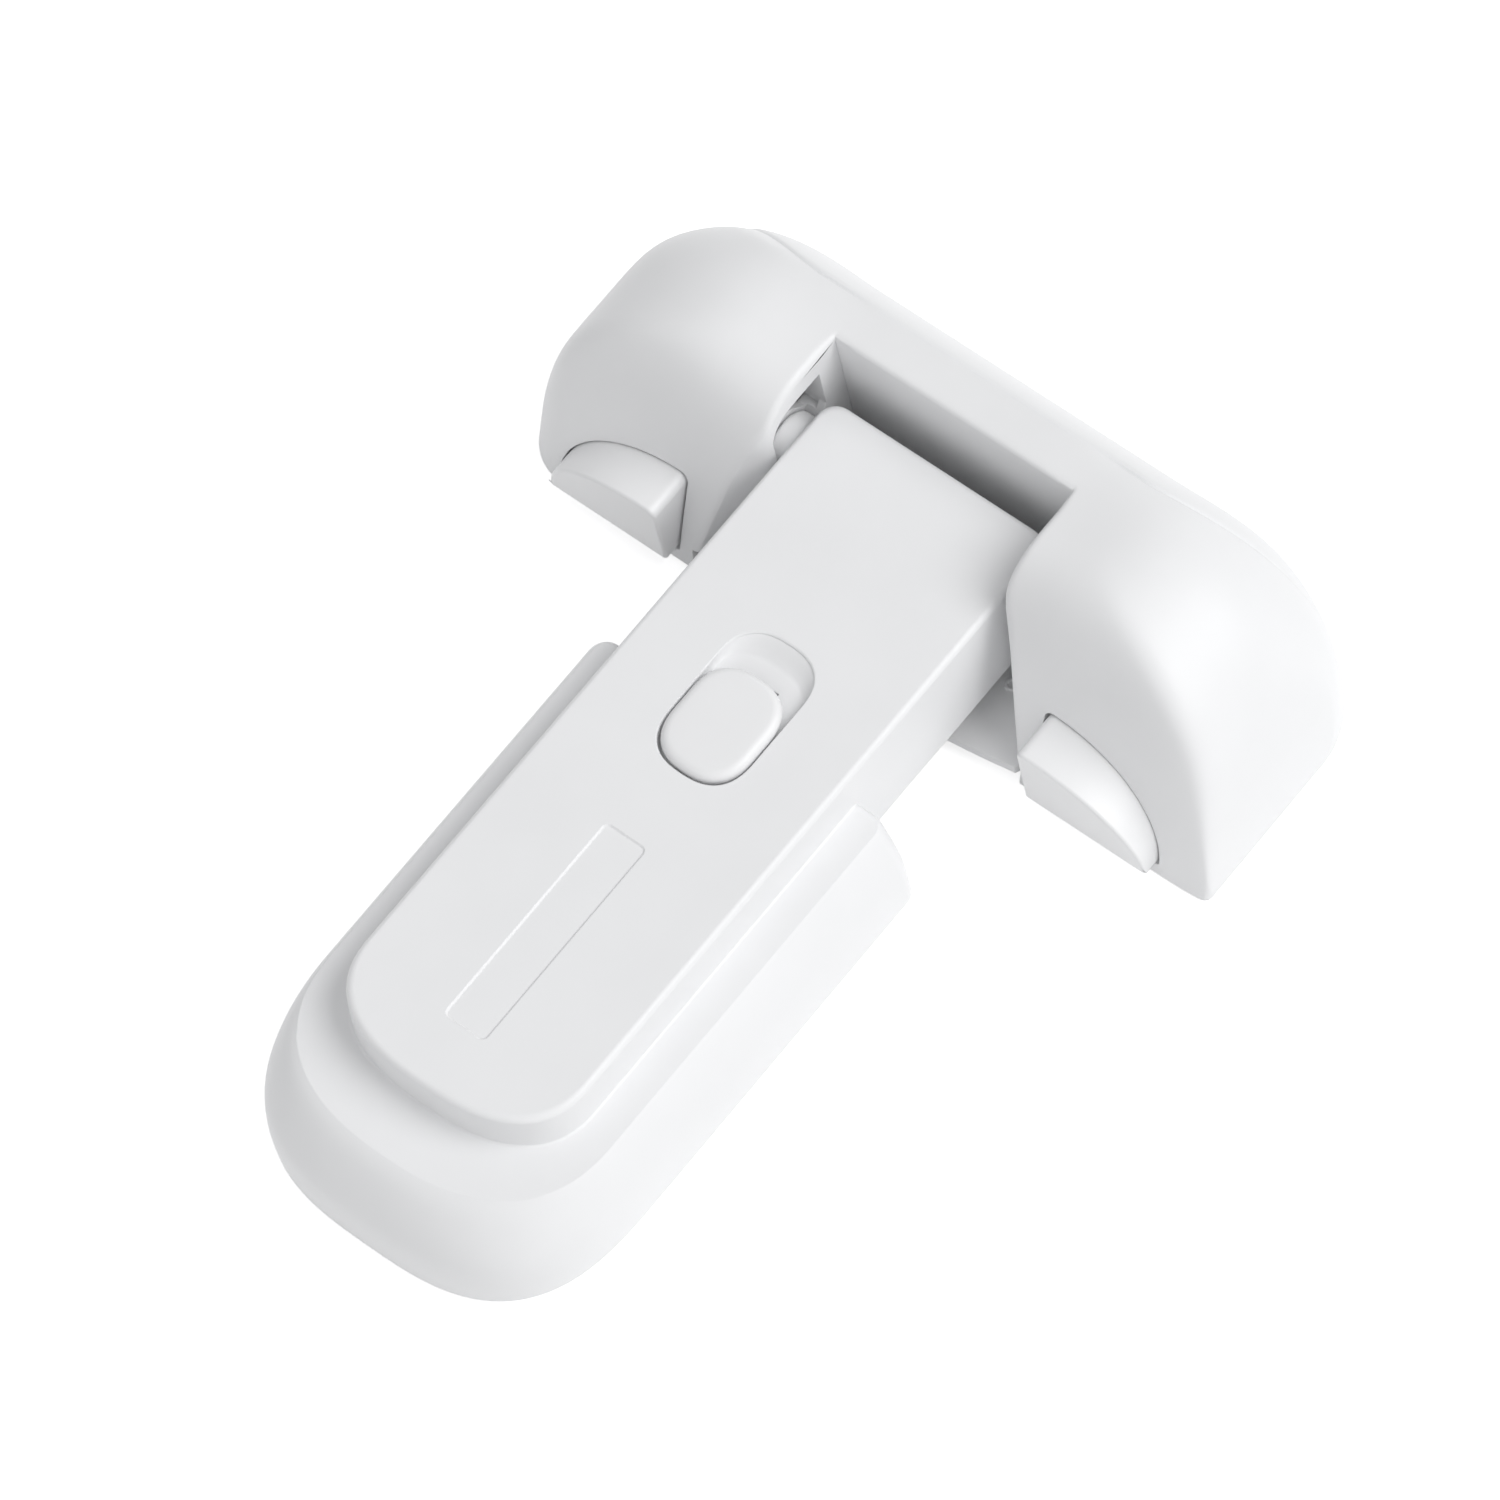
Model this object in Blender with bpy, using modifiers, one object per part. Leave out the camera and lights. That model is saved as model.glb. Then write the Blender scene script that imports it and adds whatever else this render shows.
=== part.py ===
# Fridge lock: a T-shaped child lock in two stick-on halves.
# The base and its long arm go on the door, and the T-shaped head goes on the cabinet beside it.
# The arm's end sits in a recess in the head, on two round pins that a slider on the arm draws in.
# Two sprung buttons on the head pull two claws off the catches of the head's stick-on plate.
# X runs from the base's tip to the head, +Z points away from the door, and the lock is
# symmetric about Y = 0. The origin is at the middle of the lock's box, on the door's surface.

import math

import bpy
import bmesh
from mathutils import Vector

mm = 0.001

# Overall sizes
LENGTH = 133.5 * mm
HEAD_WIDTH = 108 * mm
BASE_WIDTH = 49.2 * mm
ARM_WIDTH = 34 * mm

# Places along the lock, measured from the base's tip
LEDGE_TIP = 6.2 * mm
ARM_TIP = 13.5 * mm
LABEL_START = 22 * mm
LABEL_END = 53 * mm
SLIDER_START = 63.1 * mm
SLIDER_END = 84 * mm
BASE_END = 74.2 * mm
BUTTON_FRONT = 90.8 * mm
HEAD_START = 92.4 * mm
PIN_PLACE = 107.8 * mm
ARM_END = 113.2 * mm
RECESS_END = 117 * mm
BAR_END = 123 * mm

# Heights above the door
SHELL_FOOT = 0.3 * mm
ARM_UNDER = 7 * mm
LEDGE_HEIGHT = 15.4 * mm
PIN_HEIGHT = 16.4 * mm
ARM_TOP = 21.5 * mm
BAR_TOP = 29.3 * mm
WING_TOP = 31.2 * mm

# Walls, plates and clearances
GAP = 0.3 * mm
WALL = 2.3 * mm
PAD_THICK = 0.9 * mm
PLATE_LOW = PAD_THICK + GAP
PLATE_TOP = 2.8 * mm
ARM_CEILING = 18.5 * mm
ARM_INSIDE = 14.8 * mm
ARM_END_WALL = 1.3 * mm

# Base's plan shape: how far the rounded tip reaches, and how square its corners are
BASE_TIP_DEPTH = 20 * mm
LEDGE_TIP_DEPTH = 15 * mm
ARM_TIP_DEPTH = 12.5 * mm
TIP_POWER = 2.65
ARM_TIP_POWER = 2.7
LEDGE_STEP = 2.7 * mm
ARM_DRAFT = 0.7 * mm
ARM_CORNER = 2.6 * mm
BASE_CORNER = 3 * mm

# Head's plan shape and domes
RECESS_HALF = 18.2 * mm
MOUTH_HALF = 25.6 * mm
MOUTH_FLARE = [(92.4 * mm, 25.6 * mm), (96.9 * mm, 22.8 * mm), (99.7 * mm, 21 * mm), (101.6 * mm, 19.3 * mm)]
MOUTH_END = 103.2 * mm
HEAD_CORNER_X = 18 * mm
HEAD_CORNER_Y = 27.5 * mm
FRONT_CORNERS = {1: (6 * mm, 6.5 * mm), -1: (0.8 * mm, 0.8 * mm)}
CROWN_START = 111 * mm
ROLL_START = 113 * mm
FACE_LEAN = 8.6 * mm
FACE_TALL = 25 * mm
SHOULDER_PLACE = 103.5 * mm
WING_OUTER_POWER = 2.2
BAR_OUTER_POWER = 1.38
RISE = (16 * mm, 34 * mm)
OUTER_BLEND = (22 * mm, 44 * mm)
DOME_START = 26 * mm
DOME_REACH = 29.4 * mm
DOME_BEND = 4
END_LIP = 0.7 * mm
END_SLOPE = 5.4

# Buttons, claws and catches
BUTTON_NEAR = 27.9 * mm
BUTTON_FAR = 46.3 * mm
BUTTON_LOW = 2 * mm
BUTTON_TALL = 11.8 * mm
BUTTON_TRAVEL = 3.5 * mm
BUTTON_BACK = 100.5 * mm
FLANGE_THICK = 1.5 * mm
CLAW_MIDDLE = 37 * mm
CLAW_HALF = 6 * mm
CLAW_LOW = 5 * mm
CLAW_TOP = 8 * mm
CLAW_START = 102.3 * mm
CLAW_END = 114.5 * mm
CLAW_WINDOW = (104.6 * mm, 110.6 * mm)
CATCH_START = 108.6 * mm
CATCH_THICK = 1.6 * mm
CATCH_LIP = 2.2 * mm
CATCH_HALF = 3 * mm
CATCH_TOP = 10 * mm
LIP_LOW = 8.4 * mm
SPRING_HEIGHT = 8 * mm
SPRING_RADIUS = 2.1 * mm
SPRING_WIRE = 0.3 * mm
SPRING_CURLS = 4
SPRING_END = 122 * mm
RETAINER_LOW = 3.2 * mm
RETAINER_TOP = 4.7 * mm

# Slider, cam plate and pins
SLIDER_TRAVEL = 5.4 * mm
KNOB_LENGTH = 15 * mm
KNOB_WIDTH = 12 * mm
KNOB_TOP = 22.4 * mm
POCKET_WIDTH = 12.8 * mm
POCKET_FLOOR = 20 * mm
NECK_BACK = 3 * mm
NECK_FRONT = 1.8 * mm
NECK_WIDTH = 4.4 * mm
CAM_LOW = 15.3 * mm
CAM_TOP = 17.3 * mm
CAM_START = 63 * mm
CAM_END = 96.5 * mm
CAM_HALF = 14.3 * mm
PIN_RADIUS = 3.7 * mm
PIN_REACH = 20.3 * mm
PIN_INNER = 9 * mm
PIN_TRAVEL = 3.24 * mm
WINDOW_BACK = 113.3 * mm
WINDOW_TOP = 25.6 * mm
FOLLOWER_PLACE = 92.5 * mm
FOLLOWER_OUT = 12 * mm
FOLLOWER_RADIUS = 1.5 * mm
TAB_LOW = 12.2 * mm
TAB_TOP = 14.6 * mm

# Screws
SCREW_RADIUS = 1.1 * mm
SCREW_HEAD_RADIUS = 2.2 * mm
SCREW_HEAD_THICK = 1.1 * mm
BOSS_RADIUS = 2.4 * mm
BASE_BOSS_PLACES = [(27 * mm, 18.1 * mm), (66 * mm, 18.1 * mm)]
RETAINER_BOSS_PLACES = [(110.5 * mm, 28 * mm), (117.5 * mm, 45.6 * mm)]
COVER_SCREW_PLACE = 105.5 * mm
COVER_END = 109.3 * mm

SIDES = {"left": 1, "right": -1}


def x_at(place):
    """The X of a place measured from the base's tip."""
    return place - LENGTH / 2


def collection(name):
    found = bpy.data.collections.new(name)
    bpy.context.scene.collection.children.link(found)
    return found


def add(obj, group):
    group.objects.link(obj)
    return obj


def material(name, color, roughness, metallic=0.0):
    made = bpy.data.materials.new(name)
    made.use_nodes = True
    made.diffuse_color = (*color, 1)
    shader = made.node_tree.nodes["Principled BSDF"]
    shader.inputs["Base Color"].default_value = (*color, 1)
    shader.inputs["Roughness"].default_value = roughness
    shader.inputs["Metallic"].default_value = metallic
    return made


def from_bmesh(name, shape, group):
    mesh = bpy.data.meshes.new(name)
    bmesh.ops.recalc_face_normals(shape, faces=shape.faces)
    shape.to_mesh(mesh)
    shape.free()
    return add(bpy.data.objects.new(name, mesh), group)


def loft(name, rings, group):
    """A closed solid through rings that have the same number of points."""
    shape = bmesh.new()
    rows = [[shape.verts.new(point) for point in ring] for ring in rings]
    count = len(rows[0])
    for lower, upper in zip(rows, rows[1:]):
        for i in range(count):
            j = (i + 1) % count
            shape.faces.new((lower[i], lower[j], upper[j], upper[i]))
    shape.faces.new(rows[0][::-1])
    shape.faces.new(rows[-1])
    return from_bmesh(name, shape, group)


def plate(name, outlines, low, high, group, across=False):
    """A flat plate with the outlines' shape: the first is its edge, and the others are holes.
    across lays it in the XZ plane, from Y = low to Y = high."""
    curve = bpy.data.curves.new(name, "CURVE")
    curve.dimensions = "2D"
    curve.fill_mode = "BOTH"
    curve.extrude = (high - low) / 2
    for outline in outlines:
        spline = curve.splines.new("POLY")
        spline.points.add(len(outline) - 1)
        for point, (x, y) in zip(spline.points, outline):
            point.co = (x, y, 0, 1)
        spline.use_cyclic_u = True
    guide = bpy.data.objects.new(name + "_outline", curve)
    bpy.context.scene.collection.objects.link(guide)
    middle = (low + high) / 2
    if across:
        guide.rotation_euler = (math.pi / 2, 0, 0)
        guide.location = (0, middle, 0)
    else:
        guide.location = (0, 0, middle)
    bpy.context.view_layer.update()
    evaluated = guide.evaluated_get(bpy.context.evaluated_depsgraph_get())
    mesh = bpy.data.meshes.new_from_object(evaluated)
    mesh.transform(guide.matrix_world)
    bpy.data.objects.remove(guide)
    shape = bmesh.new()
    shape.from_mesh(mesh)
    bpy.data.meshes.remove(mesh)
    bmesh.ops.remove_doubles(shape, verts=shape.verts, dist=0.001 * mm)
    return from_bmesh(name, shape, group)


def box(name, x_range, y_range, z_range, group, bevel=0.0):
    shape = bmesh.new()
    bmesh.ops.create_cube(shape, size=1)
    for vert in shape.verts:
        for axis, (low, high) in enumerate((x_range, y_range, z_range)):
            vert.co[axis] = low if vert.co[axis] < 0 else high
    obj = from_bmesh(name, shape, group)
    if bevel:
        round_edges(obj, bevel)
    return obj


def round_edges(obj, width, segments=2, angle=40):
    bevel = obj.modifiers.new("round_edges", "BEVEL")
    bevel.width = width
    bevel.segments = segments
    bevel.limit_method = "ANGLE"
    bevel.angle_limit = math.radians(angle)


def rod(name, start, end, radius, group, sides=16, end_radius=None):
    """A round rod or cone from start to end."""
    start, end = Vector(start), Vector(end)
    shape = bmesh.new()
    bmesh.ops.create_cone(
        shape,
        cap_ends=True,
        segments=sides,
        radius1=radius,
        radius2=radius if end_radius is None else end_radius,
        depth=(end - start).length,
    )
    turn = Vector((0, 0, 1)).rotation_difference(end - start).to_matrix().to_4x4()
    bmesh.ops.transform(shape, matrix=turn, verts=shape.verts)
    bmesh.ops.translate(shape, vec=(start + end) / 2, verts=shape.verts)
    obj = from_bmesh(name, shape, group)
    obj.data.shade_smooth()
    obj.data.set_sharp_from_angle(angle=math.radians(40))
    return obj


def combine(obj, tool, operation):
    tool.hide_render = True
    tool.display_type = "WIRE"
    step = obj.modifiers.new(operation.lower() + "_" + tool.name, "BOOLEAN")
    step.operation = operation
    step.object = tool
    step.solver = "EXACT"
    return obj


def cut(obj, *tools):
    for tool in tools:
        combine(obj, tool, "DIFFERENCE")
    return obj


def join(obj, *tools):
    for tool in tools:
        combine(obj, tool, "UNION")
    return obj


def smoothed(obj, angle=30):
    obj.data.shade_smooth()
    obj.data.set_sharp_from_angle(angle=math.radians(angle))
    return obj


def bezier(start, start_pull, end_pull, end, steps):
    """Points on a cubic curve from start to end."""
    points = []
    for i in range(steps + 1):
        t = i / steps
        weights = ((1 - t) ** 3, 3 * t * (1 - t) ** 2, 3 * t**2 * (1 - t), t**3)
        corners = (start, start_pull, end_pull, end)
        points.append(tuple(sum(w * c[axis] for w, c in zip(weights, corners)) for axis in range(2)))
    return points


def power_arc(angle, power):
    """Cosine and sine of a superellipse of that power, for an angle from 0 to a quarter turn."""
    return abs(math.cos(angle)) ** (2 / power), abs(math.sin(angle)) ** (2 / power)


def tip_outline(tip, end, half_width, depth, power, corner=0.0, steps=9):
    """Plan outline with a soft squared tip at -X and a flat end at +X."""
    points = []
    for i in range(-steps, steps + 1):
        forward, side = power_arc(math.pi / 2 * abs(i) / steps, power)
        points.append((x_at(tip + depth * (1 - forward)), math.copysign(side, i) * half_width))
    if corner:
        for i in range(5):
            angle = math.pi / 2 * i / 4
            points.append((x_at(end - corner + corner * math.sin(angle)), half_width - corner + corner * math.cos(angle)))
        for i in range(5):
            angle = math.pi / 2 * i / 4
            points.append((x_at(end - corner + corner * math.cos(angle)), -half_width + corner - corner * math.sin(angle)))
    else:
        points += [(x_at(end), half_width), (x_at(end), -half_width)]
    return points


def level(outline, height):
    return [(x, y, height) for x, y in outline]


def rounded_rectangle(x_range, half_width, power, steps=6):
    """Plan outline of a rounded rectangle whose ends are superellipse quarters, centred on Y = 0."""
    middle = (x_range[0] + x_range[1]) / 2
    reach = min(half_width, (x_range[1] - x_range[0]) / 2)
    points = []
    for quarter, (sx, sy) in enumerate(((1, 1), (-1, 1), (-1, -1), (1, -1))):
        for i in range(steps + 1):
            angle = math.pi / 2 * i / steps
            if quarter % 2:
                angle = math.pi / 2 - angle
            forward, side = power_arc(angle, power)
            edge = (x_range[1] - x_range[0]) / 2
            points.append((x_at(middle + sx * (edge - reach + reach * forward)), sy * side * half_width))
    unique = []
    for point in points:
        if not unique or (Vector(point) - Vector(unique[-1])).length > 0.01 * mm:
            unique.append(point)
    return unique


def base_level(share):
    """Half width, tip place and tip depth of the base at a share of the way in to the ledge's edge."""
    return (
        BASE_WIDTH / 2 - LEDGE_STEP * share,
        LEDGE_TIP * share,
        BASE_TIP_DEPTH + (LEDGE_TIP_DEPTH - BASE_TIP_DEPTH) * share,
    )


# The base's side: height above the door, and share of the way in to the ledge's edge
BASE_SIDE = (
    (SHELL_FOOT, 0.0),
    (4.5 * mm, 0.0),
    (8 * mm, 0.08),
    (11 * mm, 0.3),
    (13.4 * mm, 0.58),
    (14.7 * mm, 0.8),
    (LEDGE_HEIGHT, 1.0),
)
# The foot of the arm's wall on the ledge: growth beyond the arm's outline, and height over the ledge
LEDGE_FILLET = ((1.5 * mm, 0.15 * mm), (0.8 * mm, 0.5 * mm), (0.3 * mm, 1.2 * mm), (-0.6 * mm, 2.2 * mm))


def arm_outline(growth, corner=ARM_CORNER, end=ARM_END):
    return tip_outline(
        ARM_TIP - growth, end + min(growth, 0), ARM_WIDTH / 2 + growth, ARM_TIP_DEPTH, ARM_TIP_POWER, corner
    )


def make_base_arm_shell(parts, tools):
    rings = []
    for height, share in BASE_SIDE:
        half_width, tip, depth = base_level(share)
        rings.append(level(tip_outline(tip, BASE_END, half_width, depth, TIP_POWER, BASE_CORNER), height))
    for growth, rise in LEDGE_FILLET:
        outline = tip_outline(
            ARM_TIP - growth, BASE_END - 0.1 * mm, ARM_WIDTH / 2 + growth, ARM_TIP_DEPTH, ARM_TIP_POWER, 0.5 * mm
        )
        rings.append(level(outline, LEDGE_HEIGHT + rise))
    shell = smoothed(loft("base_arm_shell", rings, parts))

    arm_rings = [
        level(arm_outline(growth), height)
        for growth, height in (
            (ARM_DRAFT, ARM_UNDER),
            (0.05 * mm, ARM_TOP - 0.9 * mm),
            (-0.1 * mm, ARM_TOP - 0.4 * mm),
            (-0.5 * mm, ARM_TOP),
        )
    ]
    join(shell, loft("arm_block", arm_rings, tools))

    # The heel under the arm's end is cut back, so that the arm can swing up in the head
    heel = [
        (x_at(ARM_END - 4.4 * mm), ARM_UNDER - 1 * mm),
        (x_at(ARM_END + 2 * mm), ARM_UNDER - 1 * mm),
        (x_at(ARM_END + 2 * mm), ARM_UNDER + 5.4 * mm),
    ]
    cut(shell, plate("heel_cutter", [heel], -ARM_WIDTH, ARM_WIDTH, tools, across=True))

    # The hollow under the base, with the screw bosses left standing
    hollow_rings = []
    for height, share in ((-1 * mm, 0.0), (8.5 * mm, 0.04), (11.5 * mm, 0.3), (LEDGE_HEIGHT - WALL, 0.8)):
        half_width, tip, depth = base_level(share)
        outline = tip_outline(
            tip + WALL, BASE_END - WALL, half_width - WALL, depth - WALL / 2, TIP_POWER, steps=7
        )
        hollow_rings.append(level(outline, height))
    base_hollow = loft("base_hollow", hollow_rings, tools)
    cut(shell, base_hollow)

    # The hollow of the arm, open below beyond the base
    profile = [
        (x_at(ARM_TIP + 10 * mm), -1 * mm),
        (x_at(BASE_END - WALL), -1 * mm),
        (x_at(BASE_END - WALL), ARM_UNDER + 2 * mm),
        (x_at(BASE_END + 1.5 * mm), ARM_UNDER + 2 * mm),
        (x_at(BASE_END + 1.5 * mm), ARM_UNDER - 1 * mm),
        (x_at(ARM_END - ARM_END_WALL), ARM_UNDER - 1 * mm),
        (x_at(ARM_END - ARM_END_WALL), ARM_CEILING),
        (x_at(ARM_TIP + 10 * mm), ARM_CEILING),
    ]
    cut(shell, plate("arm_hollow", [profile], -ARM_INSIDE, ARM_INSIDE, tools, across=True))

    # Screw bosses under the ledge and the arm
    for number, (place, out) in enumerate(BASE_BOSS_PLACES):
        for side, sign in SIDES.items():
            x, y = x_at(place), sign * out
            boss = rod(
                f"base_boss_{side}_{number}", (x, y, PLATE_TOP + GAP), (x, y, LEDGE_HEIGHT - 1 * mm),
                BOSS_RADIUS, tools, sides=12,
            )
            join(shell, boss)
            cut(shell, screw_hole(f"base_hole_{side}_{number}", (x, y, PLATE_TOP), 9 * mm, tools))
    x = x_at(COVER_SCREW_PLACE)
    cover_boss = rod(
        "cover_boss", (x, 0, ARM_UNDER + 2 * mm), (x, 0, ARM_CEILING + 1 * mm), BOSS_RADIUS, tools, sides=12
    )
    pin_bore = rod(
        "pin_bore", (x_at(PIN_PLACE), -ARM_WIDTH, PIN_HEIGHT), (x_at(PIN_PLACE), ARM_WIDTH, PIN_HEIGHT),
        PIN_RADIUS + GAP, tools, sides=24,
    )
    cut(shell, pin_bore)
    join(shell, cover_boss)
    cut(shell, screw_hole("cover_hole", (x, 0, ARM_UNDER), 9 * mm, tools))

    # The slider's pocket and slot, and the shallow label panel
    pocket = rounded_rectangle((SLIDER_START, SLIDER_END), POCKET_WIDTH / 2, 2.6)
    slot = (knob_middle() - NECK_BACK - GAP, knob_middle() + NECK_FRONT + SLIDER_TRAVEL + GAP)
    slot_half = NECK_WIDTH / 2 + GAP
    label = rounded_rectangle((LABEL_START, LABEL_END), 3.2 * mm, 6, steps=3)
    cut(
        shell,
        plate("slider_pocket", [pocket], POCKET_FLOOR, ARM_TOP + 1 * mm, tools),
        box("slider_slot", [x_at(v) for v in slot], (-slot_half, slot_half), (ARM_CEILING - 1 * mm, ARM_TOP), tools),
        plate("label_panel", [label], ARM_TOP - 0.25 * mm, ARM_TOP + 1 * mm, tools),
    )
    return shell


def knob_middle():
    return SLIDER_START + 0.45 * mm + KNOB_LENGTH / 2


def screw_hole(name, foot, depth, tools):
    foot = Vector(foot)
    return rod(name, foot - Vector((0, 0, 1 * mm)), foot + Vector((0, 0, depth)), SCREW_RADIUS + GAP, tools, sides=12)


def make_screw(name, foot, length, parts, tools):
    """A pan-head screw with a cross slot in its head, driven upwards from foot."""
    x, y, z = foot
    top = z + SCREW_HEAD_THICK
    screw = rod(name, (x, y, z), (x, y, top), SCREW_HEAD_RADIUS * 0.85, parts, sides=16, end_radius=SCREW_HEAD_RADIUS)
    shank = rod(name + "_shank", (x, y, top - 0.4 * mm), (x, y, top + length), SCREW_RADIUS, tools, sides=10,
                end_radius=SCREW_RADIUS * 0.7)
    join(screw, shank)
    for turn, (a, b) in enumerate(((1.3 * mm, 0.3 * mm), (0.3 * mm, 1.3 * mm))):
        cut(screw, box(f"{name}_slot_{turn}", (x - a, x + a), (y - b, y + b), (z - 1 * mm, z + 0.6 * mm), tools))
    return screw


def make_base_plate(parts, tools):
    inset = WALL + GAP
    outline = tip_outline(
        inset, BASE_END - inset, BASE_WIDTH / 2 - LEDGE_STEP * 0.1 - inset, BASE_TIP_DEPTH - inset / 2, TIP_POWER
    )
    base_plate = plate("base_plate", [outline], PLATE_LOW, PLATE_TOP, parts)
    for number, (place, out) in enumerate(BASE_BOSS_PLACES):
        for side, sign in SIDES.items():
            x, y = x_at(place), sign * out
            name = f"base_plate_hole_{side}_{number}"
            cut(base_plate, rod(name, (x, y, -1 * mm), (x, y, 5 * mm), SCREW_RADIUS + GAP, tools, sides=12))
            seat_top = PLATE_LOW + SCREW_HEAD_THICK
            cut(
                base_plate,
                rod(name + "_seat", (x, y, -1 * mm), (x, y, seat_top + GAP / 2), SCREW_HEAD_RADIUS + GAP, tools, sides=16),
            )
    return base_plate


def make_base_pad(parts):
    inset = WALL + 1.2 * mm
    outline = tip_outline(
        inset, BASE_END - inset, BASE_WIDTH / 2 - inset, BASE_TIP_DEPTH - inset / 2, TIP_POWER
    )
    return plate("base_adhesive_pad", [outline], 0, PAD_THICK, parts)


def make_arm_cover(parts, tools):
    length = (BASE_END + 1.5 * mm + GAP, COVER_END)
    low, high = ARM_UNDER + 0.2 * mm, ARM_UNDER + 1.7 * mm
    half = ARM_INSIDE - GAP
    cover = box("arm_cover", [x_at(v) for v in length], (-half, half), (low, high), parts)
    for side, sign in SIDES.items():
        y_range = sorted((sign * (half - 1.5 * mm), sign * half))
        rail = box(
            f"cam_rail_{side}", (x_at(78 * mm), x_at(89 * mm)), y_range, (low + 0.5 * mm, CAM_LOW - GAP), tools
        )
        join(cover, rail)
    x = x_at(COVER_SCREW_PLACE)
    cut(
        cover,
        rod("cover_plate_hole", (x, 0, 0), (x, 0, 12 * mm), SCREW_RADIUS + GAP, tools, sides=12),
        rod("cover_plate_seat", (x, 0, 0), (x, 0, low + 0.9 * mm), SCREW_HEAD_RADIUS + GAP, tools),
    )
    return cover


def make_knob(parts, tools):
    start = knob_middle() - KNOB_LENGTH / 2
    floor = POCKET_FLOOR + GAP
    rings = []
    for inset, height in (
        (0, floor),
        (0, KNOB_TOP - 0.8 * mm),
        (0.3 * mm, KNOB_TOP - 0.35 * mm),
        (0.9 * mm, KNOB_TOP - 0.1 * mm),
        (2.4 * mm, KNOB_TOP),
    ):
        outline = rounded_rectangle((start + inset, start + KNOB_LENGTH - inset), KNOB_WIDTH / 2 - inset, 2.8)
        rings.append(level(outline, height))
    knob = smoothed(loft("slider_knob", rings, parts))
    middle = knob_middle()
    neck = box(
        "knob_neck", (x_at(middle - NECK_BACK), x_at(middle + NECK_FRONT)),
        (-NECK_WIDTH / 2, NECK_WIDTH / 2), (CAM_TOP + GAP, floor + 1 * mm), tools,
    )
    join(knob, neck)
    cut(knob, screw_hole("knob_hole", (x_at(middle), 0, CAM_TOP), 3.6 * mm, tools))
    return knob


def make_cam_plate(parts, tools):
    """The slider's carriage: its two slanting slots draw the pins in as it moves to +X."""
    edge = [
        (x_at(CAM_START), -CAM_HALF * 0.6),
        (x_at(CAM_END), -CAM_HALF),
        (x_at(CAM_END), CAM_HALF),
        (x_at(CAM_START), CAM_HALF * 0.6),
    ]
    cam = plate("cam_plate", [edge], CAM_LOW, CAM_TOP, parts)
    radius = FOLLOWER_RADIUS + GAP
    start = Vector((FOLLOWER_PLACE, FOLLOWER_OUT))
    end = Vector((FOLLOWER_PLACE - SLIDER_TRAVEL, FOLLOWER_OUT - PIN_TRAVEL))
    along = (start - end).normalized()
    heading = math.atan2(along.y, along.x)
    for side, sign in SIDES.items():
        slot = []
        for centre, first in ((start, heading - math.pi / 2), (end, heading + math.pi / 2)):
            for i in range(7):
                angle = first + math.pi * i / 6
                slot.append((x_at(centre.x + radius * math.cos(angle)), sign * (centre.y + radius * math.sin(angle))))
        cut(cam, plate(f"cam_slot_{side}", [slot], CAM_LOW - 1 * mm, CAM_TOP + 1 * mm, tools))
    middle = x_at(knob_middle())
    cut(cam, rod("cam_screw_hole", (middle, 0, 0), (middle, 0, CAM_TOP + 1 * mm), SCREW_RADIUS + GAP, tools, sides=12))
    return cam


def make_detent_leaf(parts):
    """A bent steel strip under the cam plate, which holds the slider at either end of its travel."""
    span = (79 * mm, 90 * mm)
    points = []
    for i in range(9):
        share = i / 8
        points.append((x_at(span[0] + (span[1] - span[0]) * share), 12.4 * mm + 2.2 * mm * math.sin(math.pi * share)))
    outline = points + [(x, z + 0.35 * mm) for x, z in reversed(points)]
    return smoothed(plate("detent_leaf", [outline], -2.5 * mm, 2.5 * mm, parts, across=True), 40)


def make_pin(side, sign, parts, tools):
    """A round pin that slides in the arm's side, with a tab and a post that follows the cam plate's slot."""
    x = x_at(PIN_PLACE)
    pin = rod(
        f"hinge_pin_{side}", (x, sign * PIN_INNER, PIN_HEIGHT), (x, sign * (PIN_REACH - 0.5 * mm), PIN_HEIGHT),
        PIN_RADIUS, parts, sides=24,
    )
    nose = rod(
        f"pin_nose_{side}", (x, sign * (PIN_REACH - 1.5 * mm), PIN_HEIGHT), (x, sign * PIN_REACH, PIN_HEIGHT),
        PIN_RADIUS - 0.02 * mm, tools, sides=24, end_radius=PIN_RADIUS - 0.7 * mm,
    )
    y_range = sorted((sign * (FOLLOWER_OUT - 1.8 * mm), sign * (FOLLOWER_OUT + 1.8 * mm)))
    tab = box(
        f"pin_tab_{side}", (x_at(FOLLOWER_PLACE - 2 * mm), x), y_range, (TAB_LOW, TAB_TOP), tools
    )
    post = rod(
        f"pin_post_{side}", (x_at(FOLLOWER_PLACE), sign * FOLLOWER_OUT, TAB_TOP - 0.5 * mm),
        (x_at(FOLLOWER_PLACE), sign * FOLLOWER_OUT, CAM_TOP + 0.7 * mm), FOLLOWER_RADIUS, tools, sides=12,
    )
    return join(pin, nose, tab, post)


def smooth_step(value):
    value = max(0.0, min(1.0, value))
    return value * value * (3 - 2 * value)


def end_fall(out, shrink):
    """The share of its full height that the wing's dome keeps at this distance from the middle."""
    drop = max(out - DOME_START, 0) / (DOME_REACH - shrink)
    return math.sqrt(max(1 - drop**2, 0))


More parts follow.
